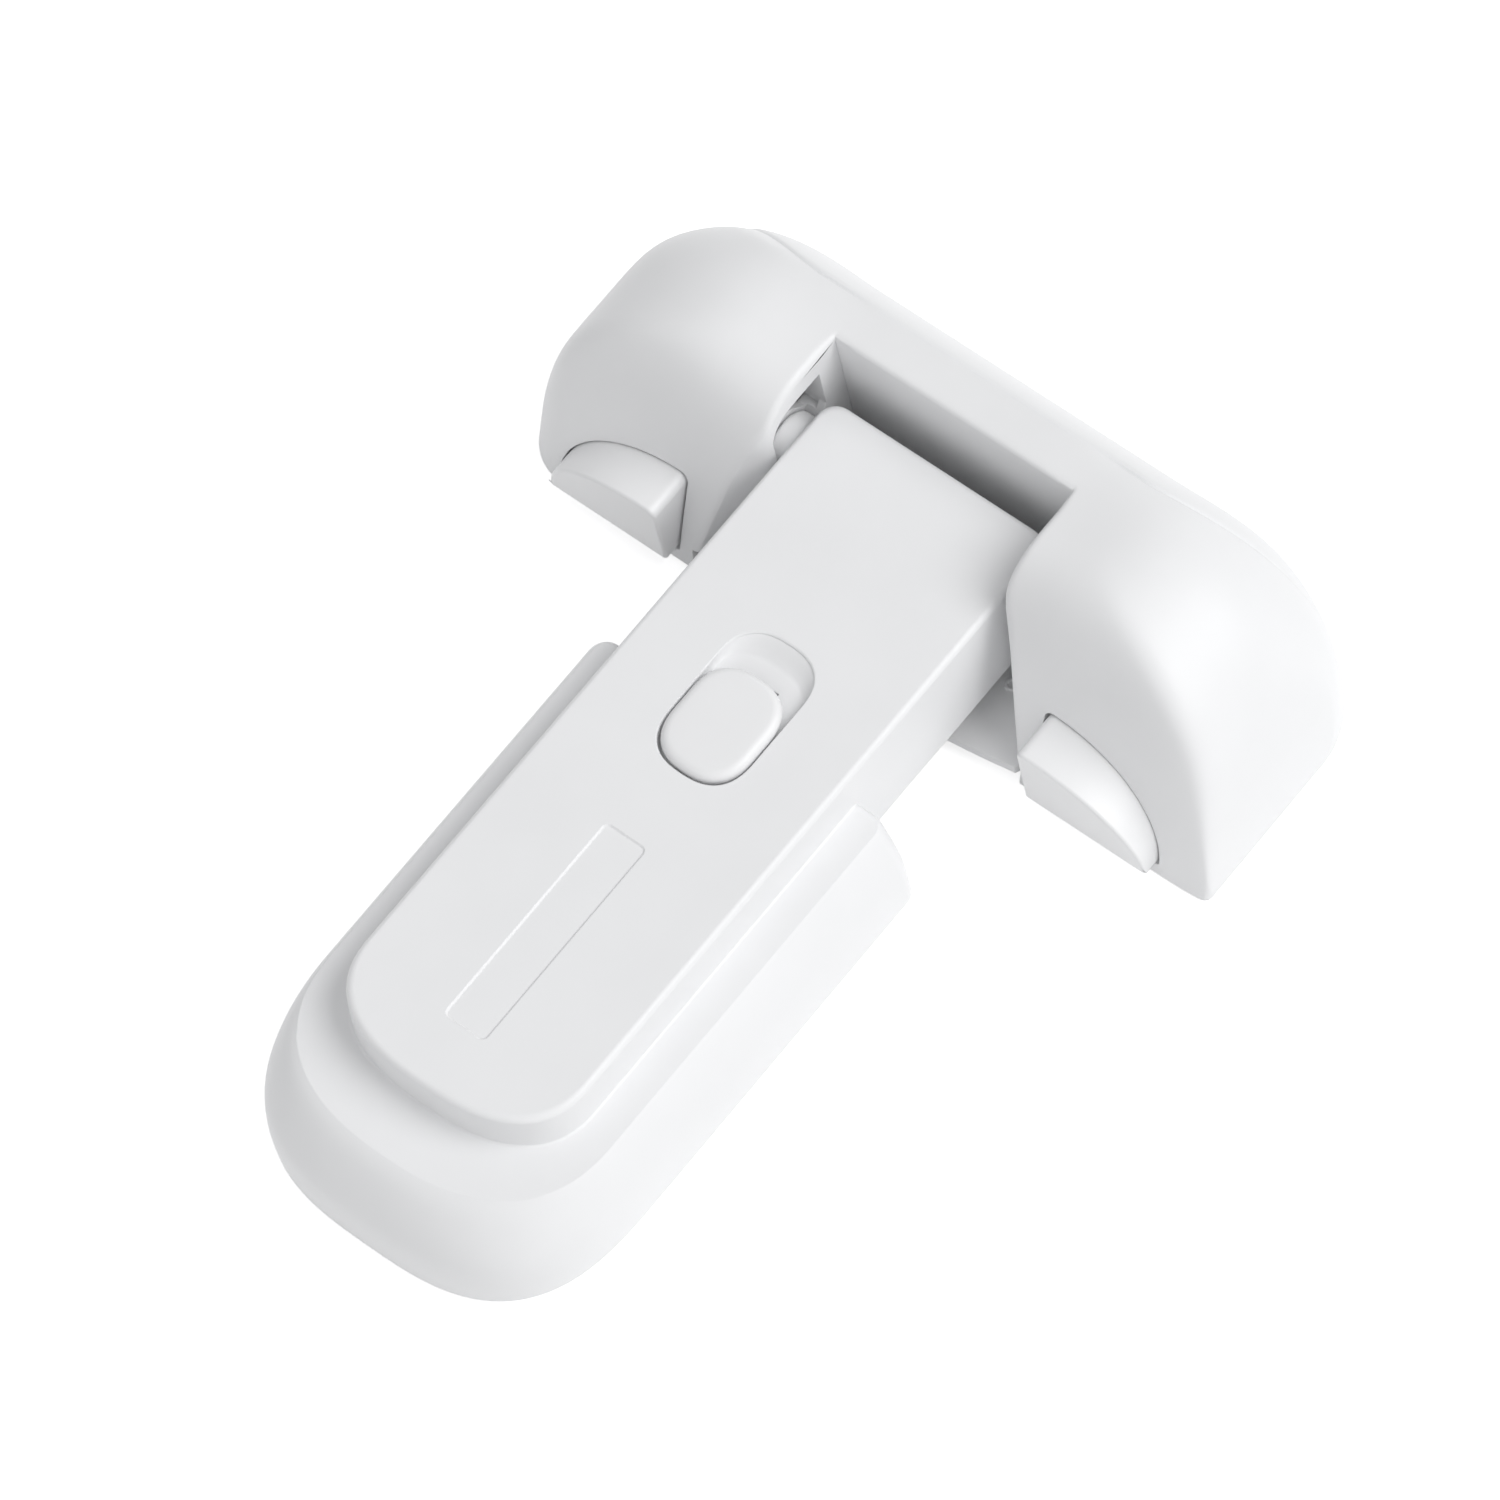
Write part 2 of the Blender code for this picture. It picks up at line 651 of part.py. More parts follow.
def head_section(y, shrink=0.0, foot=SHELL_FOOT, steps=9):
    """The head's XZ outline at one Y: a leaning inner face, a crown and an outer slope. Towards its end
    the wing falls in a dome."""
    out = abs(y)
    half = HEAD_WIDTH / 2 - shrink
    start, end = HEAD_START + shrink, LENGTH - shrink
    corner_x, corner_y = (max(v - shrink, 0.5 * mm) for v in FRONT_CORNERS[1 if y > 0 else -1])
    small = max(out - (half - corner_y), 0) / corner_y
    start += corner_x * (1 - math.sqrt(max(1 - small**2, 0)))
    large = max(out - (half - HEAD_CORNER_Y), 0) / HEAD_CORNER_Y
    end -= HEAD_CORNER_X * (1 - math.sqrt(max(1 - large**2, 0)))
    fall = end_fall(out, shrink)
    crown = BAR_TOP + (WING_TOP - BAR_TOP) * smooth_step((out - RISE[0]) / (RISE[1] - RISE[0])) - shrink
    bar_top = BAR_TOP - shrink
    tall = crown - foot
    # the inner face starts where the dome's fall meets the foot
    low = 1 - max(1 - (1 - fall) ** DOME_BEND, 0) ** (1 / DOME_BEND)
    face = bezier(
        (start, foot), (start + FACE_LEAN, foot + FACE_TALL), (SHOULDER_PLACE, crown), (CROWN_START, crown), 80
    )
    first = next(i for i, (place, height) in enumerate(face) if height - foot >= low * tall)
    points = []
    for i in range(steps + 1):
        place, height = face[round(first + (80 - first) * i / steps)]
        share = (max(1 - (height - foot) / tall, 0) ** DOME_BEND + (1 - fall) ** DOME_BEND) ** (1 / DOME_BEND)
        points.append((x_at(place), y, foot + tall * max(1 - share, 0) if i else foot))
    wing = smooth_step((out - OUTER_BLEND[0]) / (OUTER_BLEND[1] - OUTER_BLEND[0]))
    for i in range(1, steps + 1):
        place = CROWN_START + (end - CROWN_START) * math.sin(math.pi / 2 * i / steps)
        if place > BAR_END:
            share = min((place - BAR_END) / max(end - BAR_END, 0.01 * mm), 1)
            bar = foot + (bar_top - foot) * (1 - share**BAR_OUTER_POWER) ** (1 / BAR_OUTER_POWER)
        else:
            bar = bar_top + (crown - bar_top) * (1 - ((place - CROWN_START) / (BAR_END - CROWN_START)) ** 2)
        share = min(max(place - ROLL_START, 0) / (end - ROLL_START), 1)
        dome = foot + tall * (1 - share**WING_OUTER_POWER) ** (1 / WING_OUTER_POWER)
        points.append((x_at(place), y, foot + (bar + (dome - bar) * wing - foot) * fall if i < steps else foot))
    return points


# Sections of the head from its middle out, as shares of the domes' reach
HEAD_STATIONS = (0, 0.31, 0.36, 0.42, 0.48, 0.54, 0.6, 0.66, 0.72, 0.77, 0.82, 0.86, 0.9, 0.93, 0.955, 0.98, 1)


def head_dome(name, shrink, foot, group, tools, steps=9):
    """The head's outer form. The foot of each wing's dome is cut by a flat leaning end face."""
    reach = DOME_START + DOME_REACH - shrink - 0.2 * mm
    outs = [-share * reach for share in HEAD_STATIONS[:0:-1]] + [share * reach for share in HEAD_STATIONS]
    dome = loft(name, [head_section(y, shrink, foot, steps) for y in outs], group)
    half, lip = HEAD_WIDTH / 2 - shrink, SHELL_FOOT + END_LIP
    rise = 32 * mm
    outline = [(half, -3 * mm), (half, lip), (half - rise / END_SLOPE, lip + rise)]
    outline += [(70 * mm, lip + rise), (70 * mm, -3 * mm)]
    for side, sign in SIDES.items():
        rings = [[(x_at(place), sign * y, z) for y, z in outline] for place in (HEAD_START - 9 * mm, LENGTH + 9 * mm)]
        cut(dome, loft(f"{name}_end_{side}", rings, tools))
    return smoothed(dome)


def mouth_outline(growth=0.0, back=0.0):
    """Plan outline of the recess for the arm: straight cheeks that flare out at the mouth."""
    half = RECESS_HALF + growth
    points = [(place, out + growth) for place, out in MOUTH_FLARE] + [(MOUTH_END, half)]
    lead = [(HEAD_START - 12 * mm, MOUTH_HALF + growth + 4 * mm), (points[0][0] - 0.6 * mm, points[0][1] + 1.3 * mm)]
    upper = lead + points + [(RECESS_END + back, half)]
    outline = upper + [(x, -y) for x, y in reversed(upper)]
    return [(x_at(x), y) for x, y in outline]


def button_outline(growth=0.0):
    """The button's outline in Y and Z: tallest beside the arm, and falling in an arch to its far end."""
    near, far = BUTTON_NEAR - growth, BUTTON_FAR + growth
    low, top = BUTTON_LOW - growth, BUTTON_LOW + BUTTON_TALL + growth
    radius = 1.3 * mm
    points = [(near, low)]
    for i in range(4):
        angle = math.pi / 2 * i / 3
        points.append((near + radius * (1 - math.cos(angle)), top - radius * (1 - math.sin(angle))))
    for i in range(1, 10):
        angle = math.pi / 2 * i / 9
        points.append((near + radius + (far - near - radius) * math.sin(angle), low + (top - low) * math.cos(angle)))
    return points


def button_block(name, sign, x_range, growth, group):
    outline = button_outline(growth)
    rings = [[(x_at(x), sign * y, z) for y, z in outline] for x in x_range]
    return loft(name, rings, group)


def make_head_shell(parts, tools):
    shell = head_dome("head_shell", 0.0, SHELL_FOOT, parts, tools)
    hollow = head_dome("head_hollow", WALL, -1 * mm, tools, tools, steps=7)
    cut(hollow, plate("recess_walls", [mouth_outline(WALL, WALL)], -5 * mm, 50 * mm, tools))
    for number, (place, out) in enumerate(RETAINER_BOSS_PLACES):
        for side, sign in SIDES.items():
            x, y = x_at(place), sign * out
            boss = rod(
                f"head_boss_{side}_{number}", (x, y, RETAINER_TOP + GAP), (x, y, 40 * mm), BOSS_RADIUS, tools, sides=12
            )
            cut(hollow, boss)
    cut(shell, hollow)
    cut(shell, plate("arm_recess", [mouth_outline()], -5 * mm, 50 * mm, tools))
    relief = head_plate_outline(-GAP - 0.1 * mm)
    cut(shell, plate("plate_relief", [relief], -2 * mm, PLATE_TOP + GAP, tools))
    for side, sign in SIDES.items():
        window = button_block(
            f"button_window_{side}", sign, (BUTTON_FRONT - 4 * mm, BUTTON_BACK + 0.2 * mm), 0.35 * mm, tools
        )
        cut(shell, window, pin_window(side, sign, tools))
        for number, (place, out) in enumerate(RETAINER_BOSS_PLACES):
            foot = (x_at(place), sign * out, RETAINER_TOP)
            cut(shell, screw_hole(f"head_hole_{side}_{number}", foot, 7 * mm, tools))
    return shell


def pin_window(side, sign, tools):
    """The opening in the head's cheek: a round cradle under the pin, and a slot above it."""
    cradle = PIN_RADIUS + GAP
    x, back, top = x_at(PIN_PLACE), x_at(WINDOW_BACK), WINDOW_TOP
    outline = [(back, PIN_HEIGHT + 2 * mm), (back, top)]
    for i in range(6):
        angle = math.pi / 2 * (1 + i / 5)
        outline.append((x + cradle * math.cos(angle), top - cradle * (1 - math.sin(angle))))
    for i in range(9):
        angle = math.pi + math.pi * i / 8
        outline.append((x + cradle * math.cos(angle), PIN_HEIGHT + cradle * math.sin(angle)))
    y_range = sorted((sign * (RECESS_HALF - 1 * mm), sign * (RECESS_HALF + WALL + 1 * mm)))
    return plate(f"pin_window_{side}", [outline], *y_range, tools, across=True)


def head_plate_outline(inset):
    """Plan outline of the head's stick-on plate: it fills the shell, and its tongue shows under the arm."""
    gap = WALL + GAP + inset
    half = HEAD_WIDTH / 2 - gap
    start, end = HEAD_START + gap, LENGTH - gap
    mouth = MOUTH_HALF - 0.8 * mm - inset
    corner_x, corner_y = HEAD_CORNER_X - inset / 2, HEAD_CORNER_Y - inset / 2
    sides = {}
    for sign, front in FRONT_CORNERS.items():
        side = []
        for i in range(5):
            share = i / 4
            side.append((HEAD_START - 1.7 * mm + inset + 2.1 * mm * share**2, mouth * share))
        side.append((start, mouth + 1 * mm))
        front_x, front_y = (max(v - gap, 2 * mm) for v in front)
        for i in range(5):
            angle = math.pi / 2 * i / 4
            side.append((start + front_x * (1 - math.cos(angle)), half - front_y * (1 - math.sin(angle))))
        for i in range(8):
            angle = math.pi / 2 * i / 7
            side.append((end - corner_x + corner_x * math.sin(angle), half - corner_y + corner_y * math.cos(angle)))
        sides[sign] = side
    outline = sides[1] + [(x, -y) for x, y in reversed(sides[-1][1:])]
    return [(x_at(x), y) for x, y in outline]


def make_head_plate(parts, tools):
    head_plate = plate("head_base_plate", [head_plate_outline(0)], PLATE_LOW, PLATE_TOP, parts)
    for side, sign in SIDES.items():
        y_range = sorted((sign * (BUTTON_NEAR - 1.5 * mm), sign * (BUTTON_FAR + 1.5 * mm)))
        notch = (x_at(HEAD_START), x_at(BUTTON_BACK + FLANGE_THICK + BUTTON_TRAVEL + GAP))
        cut(head_plate, box(f"button_notch_{side}", notch, y_range, (0, 5 * mm), tools))
        y_range = sorted((sign * (CLAW_MIDDLE - CATCH_HALF), sign * (CLAW_MIDDLE + CATCH_HALF)))
        post = box(
            f"catch_post_{side}", (x_at(CATCH_START), x_at(CATCH_START + CATCH_THICK)), y_range,
            (PLATE_LOW + 0.5 * mm, CATCH_TOP), tools,
        )
        lip = box(
            f"catch_lip_{side}",
            (x_at(CATCH_START + 0.5 * mm), x_at(CATCH_START + CATCH_THICK + CATCH_LIP)),
            [v * 0.999 for v in y_range], (LIP_LOW, CATCH_TOP - 0.01 * mm), tools,
        )
        join(head_plate, post, lip)
    return head_plate


def make_head_pad(parts):
    return plate("head_adhesive_pad", [head_plate_outline(1.2 * mm)], 0, PAD_THICK, parts)


def make_retainer(side, sign, parts, tools):
    """The inner plate that holds a claw up in the head's wing and backs its spring."""
    y_low, y_high = 24.2 * mm, 48.9 * mm
    front = x_at(BUTTON_BACK + FLANGE_THICK + BUTTON_TRAVEL + GAP)
    edge = [
        (front, 26 * mm), (x_at(107.8 * mm), y_low), (x_at(113.5 * mm), y_low),
        (x_at(124.6 * mm), 29.5 * mm), (x_at(124.6 * mm), 42.2 * mm), (x_at(120.5 * mm), 47.6 * mm),
        (x_at(118 * mm), y_high), (x_at(115.5 * mm), y_high), (front, 45 * mm),
    ]
    hole = [
        (x_at(107.6 * mm), CLAW_MIDDLE - 4 * mm), (x_at(113.4 * mm), CLAW_MIDDLE - 4 * mm),
        (x_at(113.4 * mm), CLAW_MIDDLE + 4 * mm), (x_at(107.6 * mm), CLAW_MIDDLE + 4 * mm),
    ]
    outlines = [[(x, sign * y) for x, y in outline] for outline in (edge, hole)]
    retainer = plate(f"latch_retainer_{side}", outlines, RETAINER_LOW, RETAINER_TOP, parts)
    y_range = sorted((sign * (CLAW_MIDDLE - 3.5 * mm), sign * (CLAW_MIDDLE + 3.5 * mm)))
    seat = box(
        f"spring_seat_{side}", (x_at(SPRING_END + GAP), x_at(SPRING_END + GAP + 1.4 * mm)), y_range,
        (RETAINER_TOP - 0.5 * mm, SPRING_HEIGHT + 2.6 * mm), tools,
    )
    join(retainer, seat)
    for number, (place, out) in enumerate(RETAINER_BOSS_PLACES):
        x, y = x_at(place), sign * out
        name = f"retainer_hole_{side}_{number}"
        cut(
            retainer,
            rod(name, (x, y, 0), (x, y, 8 * mm), SCREW_RADIUS + GAP, tools, sides=12),
            rod(name + "_seat", (x, y, 0), (x, y, RETAINER_LOW + 0.9 * mm), SCREW_HEAD_RADIUS + GAP, tools),
        )
    return retainer


def make_button(side, sign, parts, tools):
    cap = button_block(f"button_cap_{side}", sign, (BUTTON_FRONT, BUTTON_BACK + 0.5 * mm), 0.0, parts)
    round_edges(cap, 0.7 * mm, segments=2, angle=50)
    flange_low, flange_high = BUTTON_NEAR - 0.9 * mm, BUTTON_FAR - 5.4 * mm
    y_range = sorted((sign * flange_low, sign * flange_high))
    flange = box(
        f"button_flange_{side}", (x_at(BUTTON_BACK), x_at(BUTTON_BACK + FLANGE_THICK)), y_range,
        (BUTTON_LOW + 0.02 * mm, BUTTON_LOW + 8 * mm), tools,
    )
    return join(cap, flange)


def make_claw(side, sign, parts, tools):
    """The sliding claw behind a button: its window's far edge hooks under the catch's lip."""
    low, high = CLAW_MIDDLE - CLAW_HALF, CLAW_MIDDLE + CLAW_HALF
    edge = [(x_at(CLAW_START), low), (x_at(CLAW_END), low), (x_at(CLAW_END), high), (x_at(CLAW_START), high)]
    hole_half = CATCH_HALF + 0.6 * mm
    hole = [
        (x_at(CLAW_WINDOW[0]), CLAW_MIDDLE - hole_half), (x_at(CLAW_WINDOW[1]), CLAW_MIDDLE - hole_half),
        (x_at(CLAW_WINDOW[1]), CLAW_MIDDLE + hole_half), (x_at(CLAW_WINDOW[0]), CLAW_MIDDLE + hole_half),
    ]
    outlines = [[(x, sign * y) for x, y in outline] for outline in (edge, hole)]
    claw = plate(f"latch_claw_{side}", outlines, CLAW_LOW, CLAW_TOP, parts)
    y_range = sorted((sign * (low + 1 * mm), sign * (high - 1 * mm)))
    front = box(
        f"claw_front_{side}", (x_at(CLAW_START + 0.01 * mm), x_at(CLAW_START + 1.5 * mm)), y_range,
        (CLAW_LOW + 0.5 * mm, 12.5 * mm), tools,
    )
    back = box(
        f"claw_back_{side}", (x_at(CLAW_END - 1.5 * mm), x_at(CLAW_END - 0.01 * mm)), y_range,
        (CLAW_LOW + 0.5 * mm, SPRING_HEIGHT + 2.6 * mm), tools,
    )
    spigot = rod(
        f"claw_spigot_{side}", (x_at(CLAW_END - 0.8 * mm), sign * CLAW_MIDDLE, SPRING_HEIGHT),
        (x_at(CLAW_END + 1.8 * mm), sign * CLAW_MIDDLE, SPRING_HEIGHT), 1.2 * mm, tools, sides=10,
    )
    return join(claw, front, back, spigot)


def make_spring(side, sign, parts):
    """A compression spring between a claw and its seat, wound as one unbroken wire."""
    curve = bpy.data.curves.new(f"button_spring_{side}", "CURVE")
    curve.dimensions = "3D"
    curve.bevel_depth = SPRING_WIRE
    curve.bevel_resolution = 1
    curve.use_fill_caps = True
    spline = curve.splines.new("POLY")
    per_curl = 10
    count = SPRING_CURLS * per_curl + 1
    spline.points.add(count - 1)
    first = CLAW_END + GAP + SPRING_WIRE
    last = SPRING_END - SPRING_WIRE
    for i, point in enumerate(spline.points):
        angle = 2 * math.pi * i / per_curl
        x = first + (last - first) * i / (count - 1)
        y = sign * CLAW_MIDDLE + SPRING_RADIUS * math.cos(angle)
        point.co = (x_at(x), y, SPRING_HEIGHT + SPRING_RADIUS * math.sin(angle), 1)
    guide = bpy.data.objects.new(f"spring_guide_{side}", curve)
    bpy.context.scene.collection.objects.link(guide)
    bpy.context.view_layer.update()
    mesh = bpy.data.meshes.new_from_object(guide.evaluated_get(bpy.context.evaluated_depsgraph_get()))
    bpy.data.objects.remove(guide)
    shape = bmesh.new()
    shape.from_mesh(mesh)
    bpy.data.meshes.remove(mesh)
    bmesh.ops.remove_doubles(shape, verts=shape.verts, dist=0.001 * mm)
    return smoothed(from_bmesh(f"button_spring_{side}", shape, parts), 60)


def finish(obj, look):
    obj.data.materials.clear()
    obj.data.materials.append(look)


def joint_frame(name, place, members, group):
    """An empty on a joint's axis, which carries the pieces that move with it."""
    frame = add(bpy.data.objects.new(name, None), group)
    frame.location = place
    frame.empty_display_size = 5 * mm
    bpy.context.view_layer.update()
    for member in members:
        member.parent = frame
        member.matrix_parent_inverse = frame.matrix_world.inverted()
    return frame


def main():
    for obj in list(bpy.data.objects):
        bpy.data.objects.remove(obj)
    parts = collection("fridge_lock")
    tools = collection("cutters")

    white = material("white_plastic", (0.86, 0.86, 0.87), 0.42)
    button_white = material("button_plastic", (0.86, 0.86, 0.87), 0.36)
    inner = material("inner_plastic", (0.72, 0.73, 0.75), 0.5)
    steel = material("steel", (0.6, 0.6, 0.62), 0.3, 1.0)
    foam = material("adhesive_foam", (0.78, 0.79, 0.8), 0.9)

    shell = make_base_arm_shell(parts, tools)
    base = [shell, make_base_plate(parts, tools), make_base_pad(parts), make_arm_cover(parts, tools)]
    finish(base[0], white)
    finish(base[1], inner)
    finish(base[2], foam)
    finish(base[3], white)
    for number, (place, out) in enumerate(BASE_BOSS_PLACES):
        for side, sign in SIDES.items():
            foot = (x_at(place), sign * out, PLATE_LOW)
            screw = make_screw(f"base_screw_{side}_{number + 1}", foot, 7 * mm, parts, tools)
            finish(screw, steel)
            base.append(screw)
    foot = (x_at(COVER_SCREW_PLACE), 0, ARM_UNDER - 0.05 * mm)
    cover_screw = make_screw("cover_screw", foot, 6 * mm, parts, tools)
    leaf = make_detent_leaf(parts)
    finish(cover_screw, steel)
    finish(leaf, steel)
    base += [cover_screw, leaf]

    knob = make_knob(parts, tools)
    cam = make_cam_plate(parts, tools)
    middle = x_at(knob_middle())
    knob_screw = make_screw("knob_screw", (middle, 0, CAM_LOW - GAP - SCREW_HEAD_THICK), 4.6 * mm, parts, tools)
    finish(knob, button_white)
    finish(cam, inner)
    finish(knob_screw, steel)
    slider = joint_frame("slider_frame", (middle, 0, KNOB_TOP), [knob, cam, knob_screw], parts)
    moving = [slider]
    for side, sign in SIDES.items():
        pin = make_pin(side, sign, parts, tools)
        finish(pin, white)
        moving.append(joint_frame(f"pin_frame_{side}", (x_at(PIN_PLACE), sign * PIN_REACH, PIN_HEIGHT), [pin], parts))
    joint_frame("arm_frame", (x_at(PIN_PLACE), 0, PIN_HEIGHT), base + moving, parts)

    head_shell = make_head_shell(parts, tools)
    head_plate = make_head_plate(parts, tools)
    head_pad = make_head_pad(parts)
    finish(head_shell, white)
    finish(head_plate, white)
    finish(head_pad, foam)
    for side, sign in SIDES.items():
        retainer = make_retainer(side, sign, parts, tools)
        finish(retainer, inner)
        for number, (place, out) in enumerate(RETAINER_BOSS_PLACES):
            foot = (x_at(place), sign * out, RETAINER_LOW - 0.2 * mm)
            finish(make_screw(f"retainer_screw_{side}_{number + 1}", foot, 5 * mm, parts, tools), steel)
        finish(make_spring(side, sign, parts), steel)
        cap = make_button(side, sign, parts, tools)
        claw = make_claw(side, sign, parts, tools)
        finish(cap, button_white)
        finish(claw, inner)
        middle_y = sign * (BUTTON_NEAR + BUTTON_FAR) / 2
        joint_frame(f"button_frame_{side}", (x_at(BUTTON_FRONT), middle_y, BUTTON_LOW), [cap, claw], parts)


main()
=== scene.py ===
import math

import bmesh
import bpy
from mathutils import Matrix, Vector


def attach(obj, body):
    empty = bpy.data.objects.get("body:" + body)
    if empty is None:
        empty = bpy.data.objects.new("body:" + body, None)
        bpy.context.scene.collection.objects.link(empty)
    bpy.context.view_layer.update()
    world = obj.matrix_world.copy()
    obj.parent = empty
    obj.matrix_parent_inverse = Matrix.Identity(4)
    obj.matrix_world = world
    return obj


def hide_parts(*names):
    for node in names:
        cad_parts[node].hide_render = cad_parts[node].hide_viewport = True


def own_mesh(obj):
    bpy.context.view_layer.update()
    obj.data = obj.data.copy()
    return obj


# Sizes in the dictionaries are in millimetres. Places along the lock are measured from the base's tip.
mm = 0.001
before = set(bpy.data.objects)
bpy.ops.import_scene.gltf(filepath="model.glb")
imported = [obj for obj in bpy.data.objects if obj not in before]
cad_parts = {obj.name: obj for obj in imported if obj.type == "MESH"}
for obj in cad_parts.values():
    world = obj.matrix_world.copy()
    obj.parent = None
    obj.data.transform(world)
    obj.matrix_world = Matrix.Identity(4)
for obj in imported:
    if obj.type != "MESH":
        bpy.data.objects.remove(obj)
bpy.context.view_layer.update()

lock = {
    "length": 133.5,
    "gap": 0.3,  # clearance between moving pieces
    "wall": 2.3,  # thickness of the mouldings
    "foot": 0.3,  # the mouldings' lowest edge above the door
    "plateLow": 1.2,
    "plateTop": 2.8,
    "pinPlace": 107.8,
    "pinHeight": 16.4,
    "pinRadius": 3.7,
    "bossRadius": 2.4,
}
sides = {"left": 1, "right": -1}


def at(place):
    return place - lock["length"] / 2


def smoothStep(value):
    value = max(0.0, min(1.0, value))
    return value * value * (3 - 2 * value)


def mix(a, b, share):
    return a + (b - a) * share


def quarterTurn(steps):
    # the angles of a quarter turn, in that many even steps
    return [math.pi / 2 * i / steps for i in range(steps + 1)]


def outward(sign, near, far):
    # the range in Y between those distances from the middle, on that side
    return sorted((sign * near, sign * far))


def removeObject(obj):
    mesh = obj.data
    bpy.data.objects.remove(obj)
    if mesh is not None and mesh.users == 0:
        bpy.data.meshes.remove(mesh)


def fromBmesh(name, shape):
    bmesh.ops.remove_doubles(shape, verts=shape.verts, dist=2e-7)
    bmesh.ops.dissolve_degenerate(shape, edges=shape.edges, dist=2e-7)
    bmesh.ops.recalc_face_normals(shape, faces=shape.faces)
    mesh = bpy.data.meshes.new(name)
    shape.to_mesh(mesh)
    shape.free()
    obj = bpy.data.objects.new(name, mesh)
    bpy.context.scene.collection.objects.link(obj)
    return obj


def loft(name, rings):
    # a closed solid through rings that have the same number of points
    shape = bmesh.new()
    rows = [[shape.verts.new(Vector(point) * mm) for point in ring] for ring in rings]
    count = len(rows[0])
    for lower, upper in zip(rows, rows[1:]):
        for i in range(count):
            j = (i + 1) % count
            shape.faces.new((lower[i], lower[j], upper[j], upper[i]))
    shape.faces.new(rows[0][::-1])
    shape.faces.new(rows[-1])
    return fromBmesh(name, shape)


def block(name, places, yRange, zRange):
    corners = ((0, 0), (1, 0), (1, 1), (0, 1))
    return loft(name, [[(at(places[x]), yRange[y], z) for x, y in corners] for z in zRange])


def raised(outline, height):
    return [(x, y, height) for x, y in outline]


def prism(name, outline, low, high, across=False):
    # a plate with that outline: flat, or standing in the XZ plane from Y = low to Y = high
    if across:
        return loft(name, [[(x, y, z) for x, z in outline] for y in (low, high)])
    return loft(name, [raised(outline, z) for z in (low, high)])


def rod(name, start, end, radii, sideCount=48):
    # a turned rod: radii are (share of the length, radius) pairs
    start, end = Vector(start), Vector(end)
    along = (end - start).normalized()
    across = along.orthogonal().normalized()
    other = along.cross(across)
    rings = []
    for share, radius in radii:
        middle = start.lerp(end, share)
        ring = []
        for i in range(sideCount):
            angle = 2 * math.pi * i / sideCount
            ring.append(middle + (across * math.cos(angle) + other * math.sin(angle)) * radius)
        rings.append(ring)
    return loft(name, rings)


def post(name, spot, y, low, high, radius):
    return rod(name, (at(spot), y, low), (at(spot), y, high), ((0, radius), (1, radius)), 24)


def settle(obj):
    # turns the modifiers' result into the piece's plain mesh
    bpy.context.view_layer.update()
    graph = bpy.context.evaluated_depsgraph_get()
    mesh = bpy.data.meshes.new_from_object(obj.evaluated_get(graph), depsgraph=graph)
    mesh.name = obj.name
    old = obj.data
    obj.modifiers.clear()
    obj.data = mesh
    if old.users == 0:
        bpy.data.meshes.remove(old)
    return obj


def combine(obj, operation, *others):
    for other in others:
        step = obj.modifiers.new("step", "BOOLEAN")
        step.operation = operation
        step.solver = "EXACT"
        step.object = other
        settle(obj)
        removeObject(other)
    return obj


def carve(obj, *cutters):
    return combine(obj, "DIFFERENCE", *cutters)


def weld(obj, *others):
    return combine(obj, "UNION", *others)


def shadeSoft(obj, angle=32, weighted=True):
    obj.data.shade_smooth()
    obj.data.set_sharp_from_angle(angle=math.radians(angle))
    if weighted:
        step = obj.modifiers.new("soft", "WEIGHTED_NORMAL")
        step.keep_sharp = True
        step.weight = 80
        settle(obj)
    return obj


def superArc(angle, power):
    return abs(math.cos(angle)) ** (2 / power), abs(math.sin(angle)) ** (2 / power)


def spread(points, count, bias=1.0):
    # count points along a line, evenly, or closer together at its start where bias is over 1
    lengths = [0.0]
    for a, b in zip(points, points[1:]):
        lengths.append(lengths[-1] + math.dist(a, b))
    total = lengths[-1]
    if total < 1e-9:
        return [tuple(points[0])] * count
    placed = []
    k = 0
    for i in range(count):
        goal = total * (i / (count - 1)) ** bias
        while k < len(points) - 2 and lengths[k + 1] < goal:
            k += 1
        part = (goal - lengths[k]) / max(lengths[k + 1] - lengths[k], 1e-12)
        part = max(0.0, min(1.0, part))
        placed.append(tuple(mix(a, b, part) for a, b in zip(points[k], points[k + 1])))
    return placed


def curveThrough(points, steps):
    # a smooth curve through the points
    full = [points[0]] + list(points) + [points[-1]]
    made = []
    for k in range(len(points) - 1):
        p0, p1, p2, p3 = full[k : k + 4]
        for i in range(steps):
            t = i / steps
            point = []
            for a, b, c, d in zip(p0, p1, p2, p3):
                bend = (2 * a - 5 * b + 4 * c - d) * t**2 + (3 * b - a - 3 * c + d) * t**3
                point.append(0.5 * (2 * b + (c - a) * t + bend))
            made.append(tuple(point))
    made.append(tuple(points[-1]))
    return made


def tipOutline(tip, end, halfWidth, depth, power, corner, steps=72):
    # plan outline with a soft squared tip at -X and a flat end at +X
    arcs = [superArc(angle, power) for angle in quarterTurn(200)]
    quarter = [(tip + depth * (1 - forward), side * halfWidth) for forward, side in arcs]
    whole = [(x, -y) for x, y in reversed(quarter[1:])] + quarter
    points = spread(whole, steps)
    x, y = end - corner, halfWidth - corner
    points += [(x + corner * math.sin(angle), y + corner * math.cos(angle)) for angle in quarterTurn(6)]
    points += [(x + corner * math.cos(angle), -y - corner * math.sin(angle)) for angle in quarterTurn(6)]
    return [(at(x), y) for x, y in points]


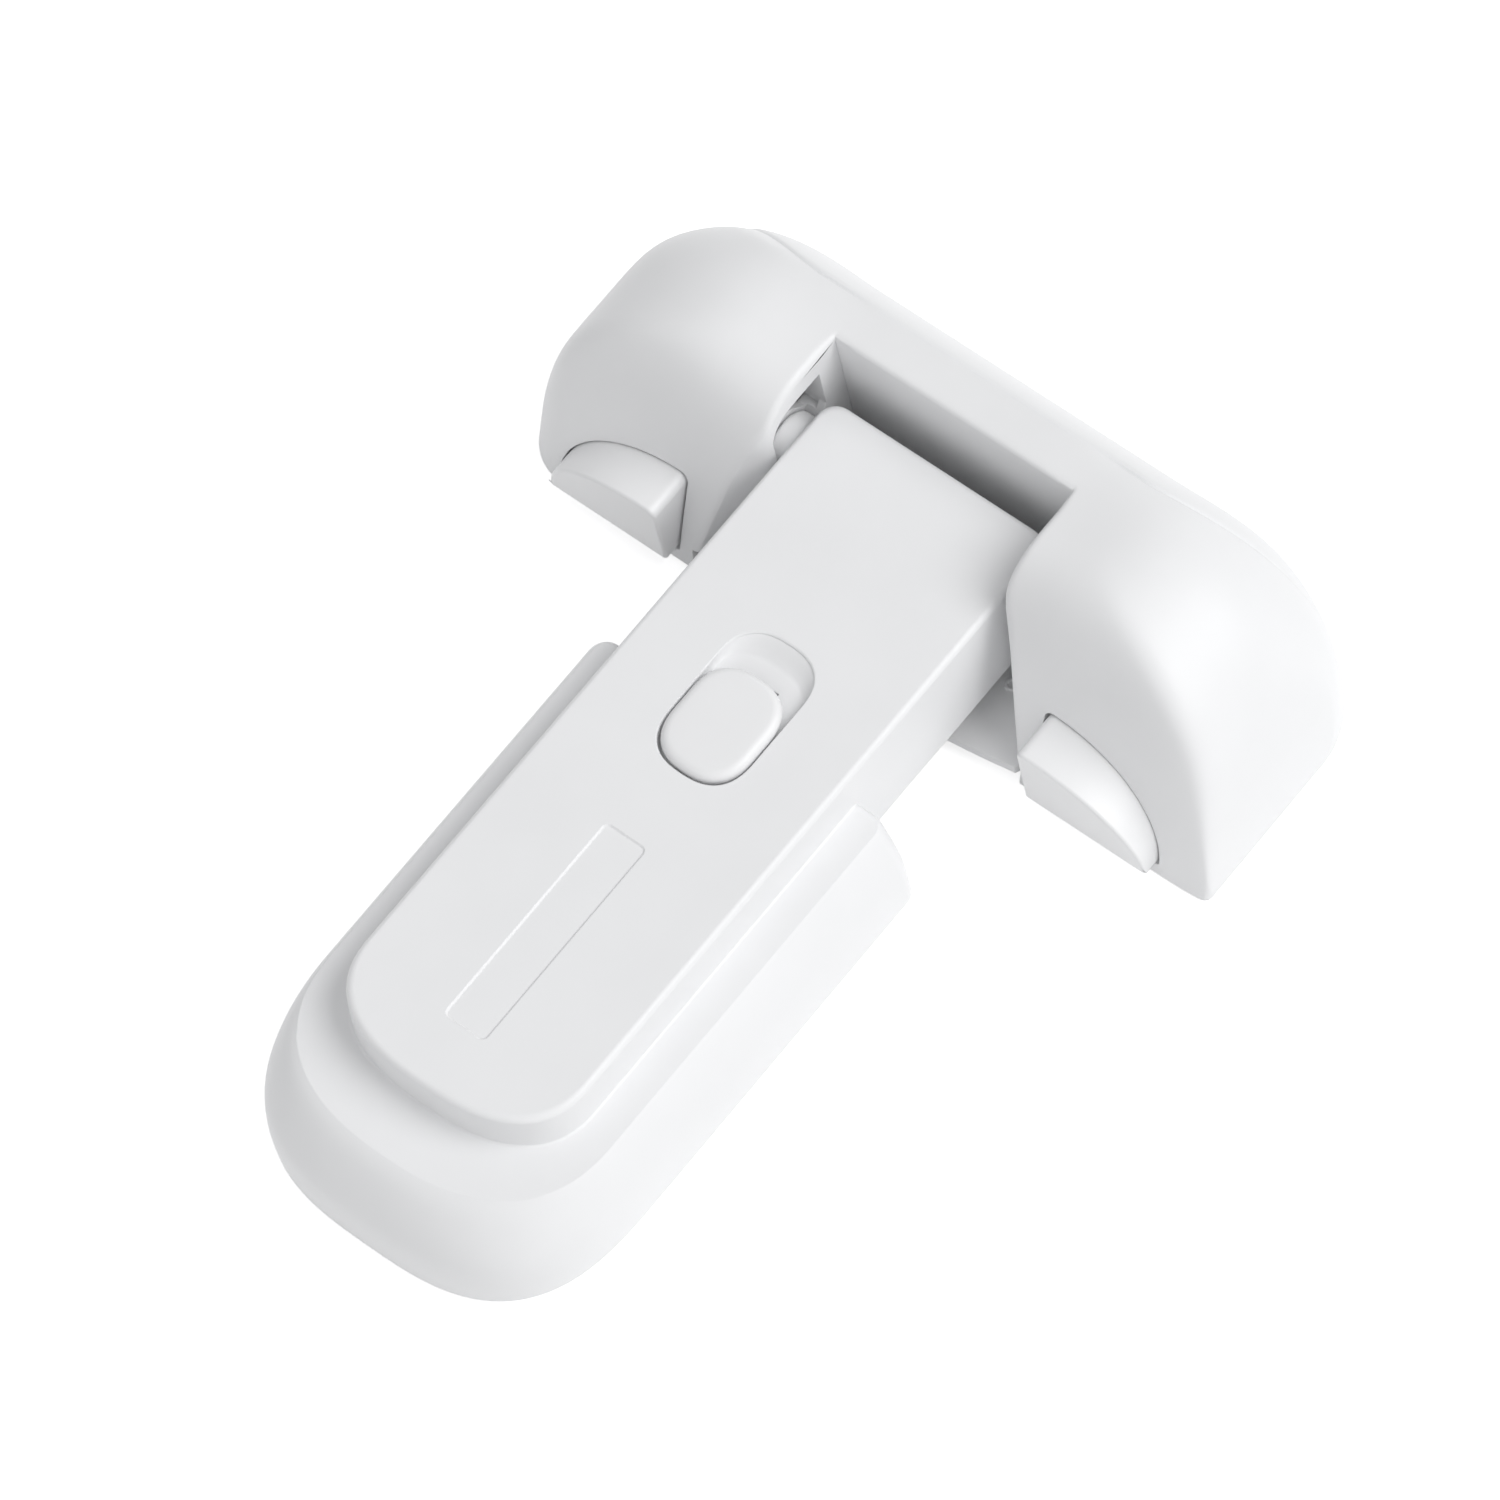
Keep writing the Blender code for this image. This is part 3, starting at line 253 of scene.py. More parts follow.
def roundedRectangle(start, end, half, power, count=14, endInset=0.0):
    middle, edge = (start + end) / 2, (end - start) / 2
    reach = min(half, edge)
    arcs = [superArc(angle, power) for angle in quarterTurn(100)]
    quarter = spread([(edge - reach + reach * forward, side * half) for forward, side in arcs], count)
    whole = quarter + [(-x, y) for x, y in reversed(quarter)]
    whole += [(-x, -y) for x, y in quarter] + [(x, -y) for x, y in reversed(quarter)]
    # endInset draws in the +X end alone
    return [(at(middle + (x * (1 - endInset / edge) if x > 0 else x)), y) for x, y in whole]


baseArm = {
    "baseWidth": 49.2,
    "baseEnd": 74.2,
    "endRound": 2.2,  # plan rounding of the base's corners at its end
    "armWidth": 34,
    "armTip": 13.5,
    "armEnd": 113.2,
    "armUnder": 7,
    "armTop": 21.5,
    "armCorner": 2.6,
    "armRound": 0.85,  # rounding of the arm's upper edge
    "ledge": 15.4,
    "tips": (-0.9, 5.4),  # places of the foot's tip and of the ledge's
    "ledgeStep": 2.9,
    "ledgeRound": 0.5,  # hollow fillet at the foot of the arm's wall
    "tipDepths": (25, 16.8),
    "tipPowers": (2.95, 2.4),
    "armTipDepth": 11.5,
    "armTipPower": 2.5,
    # height, and share of the way in from the base's foot to the ledge's edge
    "side": ((0.7, 0.0), (4.5, 0.0), (8, 0.08), (11, 0.3), (13.4, 0.58), (14.7, 0.8), (15.4, 1.0)),
    "label": (22, 53, 3.2, 0.2),  # start, end, half width and depth of the blank panel
    "pocket": (63.15, 84.15, 6.33),  # start, end and half width of the slider's pocket
    "pocketFloor": 20,
    "pocketPower": 2.6,  # 2 is an oval outline, and more is squarer
    "slot": (-3.3, 7.5, 2.5),  # start and end from the knob's middle, and half width
    "ceiling": 18.5,
    "inside": 14.8,
    "heel": (4.4, 6, 12.4),  # the arm's lower end is cut away so that it can swing up
    "bosses": ((27, 18.1), (66, 18.1)),  # place and distance from the middle, one each side
    "coverScrew": 105.5,
}


def baseLevel(share):
    base = baseArm
    return (
        base["baseWidth"] / 2 - base["ledgeStep"] * share,
        mix(*base["tips"], share),
        mix(*base["tipDepths"], share),
        mix(*base["tipPowers"], share),
    )


def armOutline(growth, end=None, corner=None):
    base = baseArm
    end = base["armEnd"] + min(growth, 0) if end is None else end
    corner = base["armCorner"] if corner is None else corner
    tip, half = base["armTip"] - growth, base["armWidth"] / 2 + growth
    return tipOutline(tip, end, half, base["armTipDepth"], base["armTipPower"], corner)


def baseArmBody():
    base = baseArm
    end, rings = base["baseEnd"], []
    for inset, height in ((0.35, 0.3), (0.12, 0.4), (0.02, 0.55)):
        half, tip, depth, power = baseLevel(0)
        outline = tipOutline(tip + inset, end - inset, half - inset, depth, power, base["endRound"])
        rings.append(raised(outline, height))
    for height, share in curveThrough(base["side"], 5):
        half, tip, depth, power = baseLevel(share)
        inset = 0.35 * smoothStep((height - base["ledge"] + 0.5) / 0.5)
        outline = tipOutline(tip, end - inset, half, depth, power, base["endRound"] - inset)
        rings.append(raised(outline, height))
    radius = base["ledgeRound"]
    for i, angle in enumerate(quarterTurn(7)):
        growth = 0.2 + radius * (1 - math.sin(angle))
        height = base["ledge"] + 0.1 + radius * (1 - math.cos(angle))
        rings.append(raised(armOutline(growth, end - 0.35 - 0.02 * i, 0.6), height))
    rings.append(raised(armOutline(-0.8, end - 0.6, 0.6), base["ledge"] + radius + 0.6))
    shell = loft("baseArmShell", rings)
    rings = []
    for inset, height in ((0.4, 0.0), (0.12, 0.12), (0.0, 0.4)):
        rings.append(raised(armOutline(0.7 - inset, base["armEnd"] - inset), base["armUnder"] + height))
    radius = base["armRound"]
    for angle in quarterTurn(8):
        inset = radius * (1 - math.cos(angle))
        outline = armOutline(0.05 - inset, base["armEnd"] - inset)
        rings.append(raised(outline, base["armTop"] - radius + radius * math.sin(angle)))
    return weld(shell, loft("armBlock", rings))


def hollowBaseArm(shell):
    base = baseArm
    back, low, high = base["heel"]
    end = base["armEnd"]
    heel = [(at(end - back), low), (at(end + 2), low), (at(end + 2), high)]
    carve(shell, prism("heel", heel, -base["armWidth"], base["armWidth"], across=True))

    # the space under the base and the arm, with the screw bosses left standing
    wall = lock["wall"]
    rings = []
    for height, share in ((-1, 0.0), (8.5, 0.04), (11.5, 0.3), (base["ledge"] - wall, 0.8)):
        half, tip, depth, power = baseLevel(share)
        outline = tipOutline(tip + wall, base["baseEnd"] - wall, half - wall, depth - wall / 2, power, 1, 40)
        rings.append(raised(outline, height))
    carve(shell, loft("baseHollow", rings))
    under, inner, ceiling, back = base["armUnder"], base["inside"], base["ceiling"], base["armEnd"] - 1.3
    front, step, end = base["armTip"] + 10, base["baseEnd"] - wall, base["baseEnd"] + 1.5
    profile = [(front, -1), (step, -1), (step, under + 2), (end, under + 2), (end, under - 1)]
    profile += [(back, under - 1), (back, ceiling), (front, ceiling)]
    profile = [(at(x), z) for x, z in profile]
    carve(shell, prism("armHollow", profile, -inner, inner, across=True))
    low, high, radius = lock["plateTop"] + lock["gap"], base["ledge"] - 1, lock["bossRadius"]
    for spot, out in base["bosses"]:
        for sign in sides.values():
            weld(shell, post("boss", spot, sign * out, low, high, radius))
    weld(shell, post("boss", base["coverScrew"], 0, under + 2, ceiling + 1, radius))
    pinX, pinZ, bore = at(lock["pinPlace"]), lock["pinHeight"], lock["pinRadius"] + lock["gap"]
    for sign in sides.values():
        ends = outward(sign, 11, 20)
        carve(shell, rod("bore", (pinX, ends[0], pinZ), (pinX, ends[1], pinZ), ((0, bore), (1, bore)), 64))


def makePocketCutter():
    # the pocket's far end is dished, so the thumb can slide in behind the knob
    start, end, half = baseArm["pocket"]
    low = ((0, 2.8, 0.3), (0.1, 2.35, 0.2), (0.45, 1.6, 0.05), (0.95, 0.75, 0.0))
    high = ((-0.35, 0.15, 0.0), (-0.2, 0.12, 0.0), (-0.08, 0.02, -0.04), (0, -0.1, -0.12), (1, -0.1, -0.12))
    rings = []
    for level, heights in ((baseArm["pocketFloor"], low), (baseArm["armTop"], high)):
        for rise, endInset, inset in heights:
            ends = (start + inset, end - inset, half - inset)
            outline = roundedRectangle(*ends, baseArm["pocketPower"], 18, endInset)
            rings.append(raised(outline, level + rise))
    return loft("pocket", rings)


def makeLabelCutter():
    start, end, half, deep = baseArm["label"]
    top = baseArm["armTop"]
    rings = []
    for inset, height in ((0.24, top - deep), (0.0, top), (0.0, top + 1)):
        radius = 0.9 - inset
        outline = []
        for sx, sy, first in ((1, 1, 0), (-1, 1, 90), (-1, -1, 180), (1, -1, 270)):
            cx = end - inset - radius if sx > 0 else start + inset + radius
            cy = sy * (half - inset - radius)
            for i in range(7):
                angle = math.radians(first + 15 * i)
                outline.append((at(cx + radius * math.cos(angle)), cy + radius * math.sin(angle)))
        rings.append(raised(outline, height))
    return loft("label", rings)


def makeBaseArm():
    shell = baseArmBody()
    hollowBaseArm(shell)
    carve(shell, makePocketCutter(), makeLabelCutter())
    middle = knob["start"] + knob["length"] / 2
    start, end, half = baseArm["slot"]
    heights = (baseArm["ceiling"] - 1, baseArm["pocketFloor"] + 1)
    carve(shell, block("slot", (middle + start, middle + end), (-half, half), heights))
    return shadeSoft(shell, 30)


knob = {
    "start": 63.5,
    "length": 15.1,
    "width": 12.1,
    "top": 22.4,
    "round": 1.25,
    "power": 2.48,
    "neck": (-3, 1.8, 2.2),  # start and end from the knob's middle, and half width
    "neckFoot": 17.6,
    "hole": (16.3, 20.9, 1.4),  # heights and radius of the hole for its screw
    "screwFoot": 13.9,
}


def makeKnob():
    start, half, top = knob["start"], knob["width"] / 2, knob["top"]
    end = start + knob["length"]
    floor = baseArm["pocketFloor"] + lock["gap"]
    profile = [(0.35, floor, 3.0), (0.1, floor + 0.2, 2.2)]
    profile += [(0.0, floor + 0.5, 1.35), (0.0, floor + 0.85, 0.75)]
    radius = knob["round"]
    for i, angle in enumerate(quarterTurn(7)):
        inset = radius * (1 - math.cos(angle))
        height = top - 0.85 * radius * (1 - math.sin(angle)) - 0.06
        profile.append((inset, height, 0.3 * (1 - i / 7)))
    profile.append((radius + 1.6, top - 0.02, 0.0))
    rings = []
    for inset, height, endInset in profile:
        outline = roundedRectangle(start + inset, end - inset, half - inset, knob["power"], 18, endInset)
        rings.append(raised(outline, height))
    piece = loft("sliderKnob", rings)
    middle = start + knob["length"] / 2
    first, last, side = knob["neck"]
    weld(piece, block("neck", (middle + first, middle + last), (-side, side), (knob["neckFoot"], floor + 1)))
    carve(piece, post("hole", middle, 0, *knob["hole"]))
    return shadeSoft(piece, 35)


pin = {
    "inner": 9,
    "reach": 20.3,
    "nose": 0.7,
    # a tab leads to the post that follows the cam plate's slot
    "followerPlace": 92.5,
    "followerOut": 12,
    "tab": (12.2, 14.6),
    "post": (14.1, 18.0),
}


def makePin(side, sign):
    x, z, radius = at(lock["pinPlace"]), lock["pinHeight"], lock["pinRadius"]
    length = pin["reach"] - pin["inner"]
    radii = [(0, radius - 0.3), (0.3 / length, radius)]
    nose = pin["nose"]
    for angle in quarterTurn(6):
        radii.append((1 - nose * (1 - math.sin(angle)) / length, radius - nose * (1 - math.cos(angle))))
    piece = rod("hingePin_" + side, (x, sign * pin["inner"], z), (x, sign * pin["reach"], z), radii, 72)
    out = pin["followerOut"]
    places = (pin["followerPlace"] - 2, lock["pinPlace"])
    weld(piece, block("tab", places, outward(sign, out - 1.8, out + 1.8), pin["tab"]))
    ends = [(at(pin["followerPlace"]), sign * out, height) for height in pin["post"]]
    weld(piece, rod("post", *ends, ((0, 1.5), (0.93, 1.5), (1, 1.25)), 32))
    return shadeSoft(piece, 35)


head = {
    "start": 92.4,
    "half": 54,
    "recessEnd": 117,
    "recessHalf": 18.2,
    "mouthHalf": 25.6,
    # plan curve of a cheek's flare, from the mouth to the straight part
    "flare": (
        (92.4, 25.6), (96.9, 22.75), (99.4, 21.15), (100.9, 20.0),
        (102.2, 18.95), (103.4, 18.35), (104.9, 18.2),
    ),
    "cheekRound": 1.0,  # rounding of the cheeks' upper edge
    "backRound": 0.6,
    "barTop": 29.3,
    "wingTop": 31.2,
    "rise": (16, 34),  # where the wings' crown rises above the bar, from the middle out
    "crownStart": 111,
    "roll": 113,
    "crease": 123,
    "creaseTurn": 4.2,  # how far the crease swings out along the wings
    "creaseDeep": 0.5,
    "cornerX": 18,
    "cornerY": 27.5,
    "frontCorners": {1: (8, 7.6), -1: (0.8, 0.8)},  # the left wing's front corner is rounded in plan
    "faceLean": 8.6,
    "faceTall": 25,
    "shoulder": 103.5,
    "wingPower": 2.2,
    "barPower": 1.38,
    "blend": (22, 44),
    "domeStart": 26,
    "domeReach": 29.4,
    "domePower": 2.1,
    "bend": 4,
    "endLip": 0.7,
    "endSlope": 5.4,
    "endSoft": 5,  # lower is a rounder edge between the dome and the end face
}


def movedOut(line, offset):
    # the open line moved to its left by that amount
    made = []
    for i, here in enumerate(line):
        before, after = Vector(line[max(i - 1, 0)]), Vector(line[min(i + 1, len(line) - 1)])
        along = (after - before).normalized()
        made.append((here[0] - along.y * offset, here[1] + along.x * offset))
    return made


cheekLine = curveThrough(head["flare"], 8) + [(head["recessEnd"], head["recessHalf"])]


def wallPlace(out, offset=0.0):
    # where the recess's wall stands at this distance from the middle, or None beyond its mouth
    if out < head["recessHalf"] + offset - 1e-6:
        return head["recessEnd"] + offset
    line = movedOut(cheekLine, offset)
    for (x0, y0), (x1, y1) in zip(line, line[1:]):
        if y1 <= out <= y0 and y0 > y1:
            return mix(x0, x1, (y0 - out) / (y0 - y1))
    return None if out > line[0][1] else line[-2][0]


def wallGap(x, out):
    # distance in plan from the recess's wall, and the rounding that its edge has there
    half, back = head["recessHalf"], head["recessEnd"]
    if out < half:
        gap = x - back
    elif x >= back:
        gap = math.hypot(x - back, out - half)
    else:
        gap, here = 9.0, Vector((x, out))
        for start, end in zip(cheekLine, cheekLine[1:]):
            start, along = Vector(start), Vector(end) - Vector(start)
            share = max(0.0, min(1.0, (here - start).dot(along) / along.dot(along)))
            gap = min(gap, (here - start - along * share).length)
    share = 0.0 if out < half else smoothStep((back - x) / 3)
    return gap, mix(head["backRound"], head["cheekRound"], share)


def creasePlace(out):
    return head["crease"] + head["creaseTurn"] * smoothStep((out - 24) / 22)


def creaseDepth(x, out):
    # the soft step that carries the bar's outer edge on over the wing
    deep = head["creaseDeep"] * smoothStep((out - 14) / 8) * (1 - smoothStep((out - 44) / 4))
    gap = x - creasePlace(out)
    reach = 2.5 if gap < 0 else 0.9
    return deep * max(0.0, 1 - abs(gap) / reach) ** 2


def headProfile(y, shrink, foot, steps):
    # the XZ outline at this Y, from the inner face's foot to the outer one's
    out, half = abs(y), head["half"] - shrink
    start, end = head["start"] + shrink, lock["length"] - shrink
    cornerX, cornerY = (max(v - shrink, 0.5) for v in head["frontCorners"][1 if y > 0 else -1])
    small = max(out - (half - cornerY), 0) / cornerY
    start += cornerX * (1 - math.sqrt(max(1 - small**2, 0)))
    large = max(out - (half - head["cornerY"]), 0) / head["cornerY"]
    end -= head["cornerX"] * (1 - math.sqrt(max(1 - large**2, 0)))
    drop, power = max(out - head["domeStart"], 0) / (head["domeReach"] - shrink), head["domePower"]
    fall = max(1 - drop**power, 0.0) ** (1 / power)
    rise = smoothStep((out - head["rise"][0]) / (head["rise"][1] - head["rise"][0]))
    crown = mix(head["barTop"], head["wingTop"], rise) - shrink
    barTop, tall, bend = head["barTop"] - shrink, crown - foot, head["bend"]
    crownStart, crease, roll = head["crownStart"], head["crease"], head["roll"]
    lean = (start + head["faceLean"], foot + head["faceTall"])
    pulls = ((start, foot), lean, (head["shoulder"], crown), (crownStart, crown))

    def facePoint(t):
        weights = ((1 - t) ** 3, 3 * t * (1 - t) ** 2, 3 * t**2 * (1 - t), t**3)
        return [sum(weight * pull[axis] for weight, pull in zip(weights, pulls)) for axis in range(2)]

    # the inner face starts where the dome's fall meets the foot
    low = 1 - max(1 - (1 - fall) ** bend, 0.0) ** (1 / bend)
    below, above = 0.0, 1.0
    for _ in range(40):
        middle = (below + above) / 2
        below, above = (middle, above) if facePoint(middle)[1] - foot < low * tall else (below, middle)
    points = []
    for i in range(steps + 1):
        x, z = facePoint(mix(above, 1, i / steps))
        lack = max(1 - (z - foot) / tall, 0.0)
        share = (lack**bend + (1 - fall) ** bend) ** (1 / bend)
        points.append((x, foot + tall * max(1 - share, 0.0) if i else foot))
    wing = smoothStep((out - head["blend"][0]) / (head["blend"][1] - head["blend"][0]))
    endFace = lock["foot"] - foot + head["endLip"] + (half - out) * head["endSlope"]

    def underEnd(point):
        # the wing's leaning end face, met by the dome in a rounded edge
        soft, rise = head["endSoft"], point[1] - foot
        return (point[0], foot + (rise**-soft + endFace**-soft) ** (-1 / soft) if rise > 1e-4 else point[1])

    for i in range(1, steps + 1):
        x = mix(crownStart, end, math.sin(math.pi / 2 * i / steps))
        if x > crease:
            share = min((x - crease) / max(end - crease, 0.01), 1)
            bar = foot + (barTop - foot) * (1 - share ** head["barPower"]) ** (1 / head["barPower"])
        else:
            bar = barTop + (crown - barTop) * (1 - ((x - crownStart) / (crease - crownStart)) ** 2)
        share = min(max(x - roll, 0) / (end - roll), 1)
        dome = foot + tall * (1 - share ** head["wingPower"]) ** (1 / head["wingPower"])
        points.append((x, foot + (mix(bar, dome, wing) - foot) * fall if i < steps else foot))
    return [underEnd(point) for point in points]


def heightAt(points, x):
    for (x0, z0), (x1, z1) in zip(points, points[1:]):
        if x0 <= x <= x1 and x1 > x0:
            return mix(z0, z1, (x - x0) / (x1 - x0))
    return points[0][1] if x < points[0][0] else points[-1][1]


def headRing(y, shrink, foot, offset, counts, inWing=True, fine=True):
    out = abs(y)
    points = headProfile(y, shrink, foot, 90)
    wall = wallPlace(out + (1e-7 if inWing else -1e-5), offset)
    first, last = points[0][0], points[-1][0]
    wall = first if wall is None else max(wall, first)
    back = head["recessEnd"] + offset
    split = max(mix(back, head["roll"], smoothStep((out - head["recessHalf"] - 2) / 7)), wall)
    edge = max(min(creasePlace(out), mix(split, last, 0.93)), split + 0.05)

    def lowered(x, z):
        if not fine:
            return z
        z -= creaseDepth(x, out)
        gap, radius = wallGap(x, out)
        if gap < radius:
            z -= radius - math.sqrt(max(radius**2 - (radius - max(gap, 0.0)) ** 2, 0.0))
        return max(z, foot + 0.02)

    def stretch(low, high, extra=()):
        xs = [x for x, _ in points if low < x < high] + [x for x in extra if low < x < high]
        return [(x, lowered(x, heightAt(points, x))) for x in sorted(xs + [low, high])]

    wallCount, faceCount, topCount, outerCount = counts
    turn = [wall + head["cheekRound"] * (1 - math.cos(angle)) for angle in quarterTurn(8)[1:]]
    top = stretch(wall, split, turn) if split - wall > 1e-6 else stretch(wall, wall)
    if wall <= first + 1e-9:
        face = [(x, z) for x, z in points if x < split] + [(split, heightAt(points, split))]
        top = [(x, lowered(x, z)) for x, z in face]
    upright = spread([(wall, foot), top[0]], wallCount)
    middle = stretch(split, edge, [edge - 0.1 * i for i in range(1, 26)])
    outer = stretch(edge, last, [edge + 0.05 * i for i in range(1, 20)])
    outer[-1] = (last, foot)
    ring = upright + spread(top, faceCount, 1.5)[1:]
    ring += spread(middle[::-1], topCount, 1.6)[-2::-1] + spread(outer, outerCount, 1.6)[1:]
    return [(at(x), y, z) for x, z in ring]


def headStations(offset, fine):
    # distances from the middle at which the head is cut into sections, denser where it turns
    half, end = head["recessHalf"] + offset, head["half"] - offset
    wingOuts = {half}
    if fine:
        for angle in quarterTurn(7)[1:]:
            wingOuts.add(half + head["cheekRound"] * (1 - math.cos(angle)))
    last = max(out for _, out in movedOut(cheekLine, offset))
    count = 24 if fine else 8
    for i in range(1, count + 1):
        wingOuts.add(mix(half + head["cheekRound"], last, i / count))
    for angle in quarterTurn(52 if fine else 20)[1:]:
        out = mix(head["domeStart"], end, math.sin(angle) ** 0.9)
        if out > last + 0.05:
            wingOuts.add(out)
    count = 12 if fine else 4
    return [half * i / count for i in range(count + 1)], sorted(wingOuts)


def headBody(name, shrink, foot, offset, fine, counts):
    barOuts, wingOuts = headStations(offset, fine)
    stations = [(-out, True) for out in reversed(wingOuts)] + [(-out, False) for out in reversed(barOuts)]
    stations += [(out, False) for out in barOuts[1:]] + [(out, True) for out in wingOuts]
    rings = [headRing(y, shrink, foot, offset, counts, inWing, fine) for y, inWing in stations]
    return loft(name, rings)


def headPlateOutline(inset, steps=18):
    gap = lock["wall"] + lock["gap"] + inset
    half, start, end = head["half"] - gap, head["start"] + gap, lock["length"] - gap
    mouth = head["mouthHalf"] - 0.8 - inset
    cornerX, cornerY = head["cornerX"] - inset / 2, head["cornerY"] - inset / 2
    halves = {}
    for sign, front in head["frontCorners"].items():
        tongue = head["start"] - 1.7 + inset
        edge = [(tongue + 2.1 * (i / 8) ** 2, mouth * i / 8) for i in range(9)]
        edge.append((start, mouth + 1))
        frontX, frontY = (max(v - gap, 2) for v in front)
        for angle in quarterTurn(8):
            edge.append((start + frontX * (1 - math.cos(angle)), half - frontY * (1 - math.sin(angle))))
        for angle in quarterTurn(steps - 1):
            x = end - cornerX * (1 - math.sin(angle))
            edge.append((x, half - cornerY * (1 - math.cos(angle))))
        halves[sign] = edge
    return [(at(x), y) for x, y in halves[1] + [(x, -y) for x, y in reversed(halves[-1][1:])]]


pinCup = {
    # a block welded behind the pin: places, heights, and distances from the recess's side
    "places": (103.6, 114.4),
    "heights": (11.2, 25.9),
    "outs": (1, 3.6),
    "windowBack": 113.3,
    "windowTop": 25.6,
    "opening": (108.3, 111.9),  # where the opening starts in front, and its sloping corner
}


def pinWindow(sign):
    # a round cradle under the pin, closed by the cup's floor behind the pin, and an opening above it
    cradle = lock["pinRadius"] + lock["gap"]
    x, z = at(lock["pinPlace"]), lock["pinHeight"]
    back, top = at(pinCup["windowBack"]), pinCup["windowTop"]
    outline = [(back, z + 2), (back, top)]
    for angle in quarterTurn(12):
        outline.append((x - cradle * math.sin(angle), top - cradle * (1 - math.cos(angle))))
    for i in range(25):
        angle = math.pi + math.pi * i / 24
        outline.append((x + cradle * math.cos(angle), z + cradle * math.sin(angle)))
    ends = outward(sign, head["recessHalf"] - 1, pin["reach"] + lock["gap"])
    cup = prism("pinWindow", outline, *ends, across=True)
    left, corner = (at(spot) for spot in pinCup["opening"])
    low, side, high = z + 0.8, back - 0.02, top - 0.02
    outline = [(left, high), (side, high), (side, low), (corner, low), (left, z + 4.6)]
    ends = outward(sign, pin["reach"] - 1, head["recessHalf"] + 6)
    return cup, prism("pinOpening", outline, *ends, across=True)


def makeHeadShell():
    wall = lock["wall"]
    shell = headBody("headShell", 0.0, lock["foot"], 0.0, True, (14, 46, 26, 36))
    hollow = headBody("headHollow", wall, -1.0, wall, False, (6, 16, 5, 12))
    for spot, out in retainer["bosses"]:
        for sign in sides.values():
            carve(hollow, post("boss", spot, sign * out, 5, 40, lock["bossRadius"]))
    carve(shell, hollow)
    carve(shell, prism("relief", headPlateOutline(-lock["gap"] - 0.1), -2, lock["plateTop"] + lock["gap"]))
    for sign in sides.values():
        carve(shell, buttonBlock("window", sign, (button["front"] - 4, button["back"] + 0.2), button["gap"]))
        ends = outward(sign, *(head["recessHalf"] + out for out in pinCup["outs"]))
        weld(shell, block("pinCup", pinCup["places"], ends, pinCup["heights"]))
        carve(shell, *pinWindow(sign))
    return shadeSoft(shell, 34)


button = {
    "near": 27.9,
    "far": 46.3,
    "low": 2,
    "tall": 11.8,
    "round": 1.3,  # its upper corner beside the arm
    "front": 90.8,
    "back": 100.5,
    "flange": 1.5,
    "gap": 0.35,
    "edge": 0.45,  # rounding of the front face's edges
}
retainer = {"bosses": ((110.5, 28), (117.5, 45.6)), "screwFoot": 3.0}


def buttonOutline(growth):
    # tallest beside the arm, and falling in an arch to the far end
    near, far = button["near"] - growth, button["far"] + growth
    low, top = button["low"] - growth, button["low"] + button["tall"] + growth
    radius = button["round"]
    points = [(near + 0.3, low), (near, low + 0.3)]
    for angle in quarterTurn(8):
        points.append((near + radius * (1 - math.cos(angle)), top - radius * (1 - math.sin(angle))))
    arch = []
    for angle in quarterTurn(90)[1:-1]:
        arch.append((mix(near + radius, far, math.sin(angle)), mix(low, top, math.cos(angle))))
    points += spread(arch, 36)
    points += [(far - 0.04, low + 0.3), (far - 0.3, low)]
    return points


def drawnIn(outline, amount):
    # the outline moved inwards by that amount
    count = len(outline)
    area = sum(a[0] * b[1] - b[0] * a[1] for a, b in zip(outline, outline[1:] + outline[:1]))
    turn = 1 if area > 0 else -1
    made = []
    for i in range(count):
        before, here, after = (Vector(outline[(i + k) % count]) for k in (-1, 0, 1))
        first, second = (here - before).normalized(), (after - here).normalized()
        normals = [Vector((-d.y, d.x)) * turn for d in (first, second)]
        both = (normals[0] + normals[1]).normalized()
        made.append(tuple(here + both * amount / max(both.dot(normals[0]), 0.4)))
    return made


def buttonBlock(name, sign, xRange, growth, edge=0.0):
    outline = buttonOutline(growth)
    levels = [(xRange[0], 0.0)]
    if edge:
        levels = [(xRange[0] + edge * (1 - math.cos(a)), edge * (1 - math.sin(a))) for a in quarterTurn(6)]
    rings = []
    for x, inset in levels + [(xRange[1], 0.0)]:
        ring = drawnIn(outline, inset) if inset else outline
        rings.append([(at(x), sign * y, z) for y, z in ring])
    return loft(name, rings)


def makeButton(side, sign):
    span = (button["front"], button["back"] + 0.5)
    piece = buttonBlock("buttonCap_" + side, sign, span, 0.0, button["edge"])
    ends = outward(sign, button["near"] - 0.9, button["far"] - 5.4)
    places = (button["back"], button["back"] + button["flange"])
    weld(piece, block("flange", places, ends, (button["low"] + 0.02, button["low"] + 8)))
    return shadeSoft(piece, 35)


# what stands on the head's plate: the catches that the claws hook on, and small round moulding marks
catch = {"outs": (34, 40), "post": (108.6, 110.2), "lip": (109.1, 112.4), "lipLow": 8.4, "top": 10}
mark = {"place": 101.5, "out": 17.6, "radius": 0.95, "hole": 0.5, "tall": 0.22}


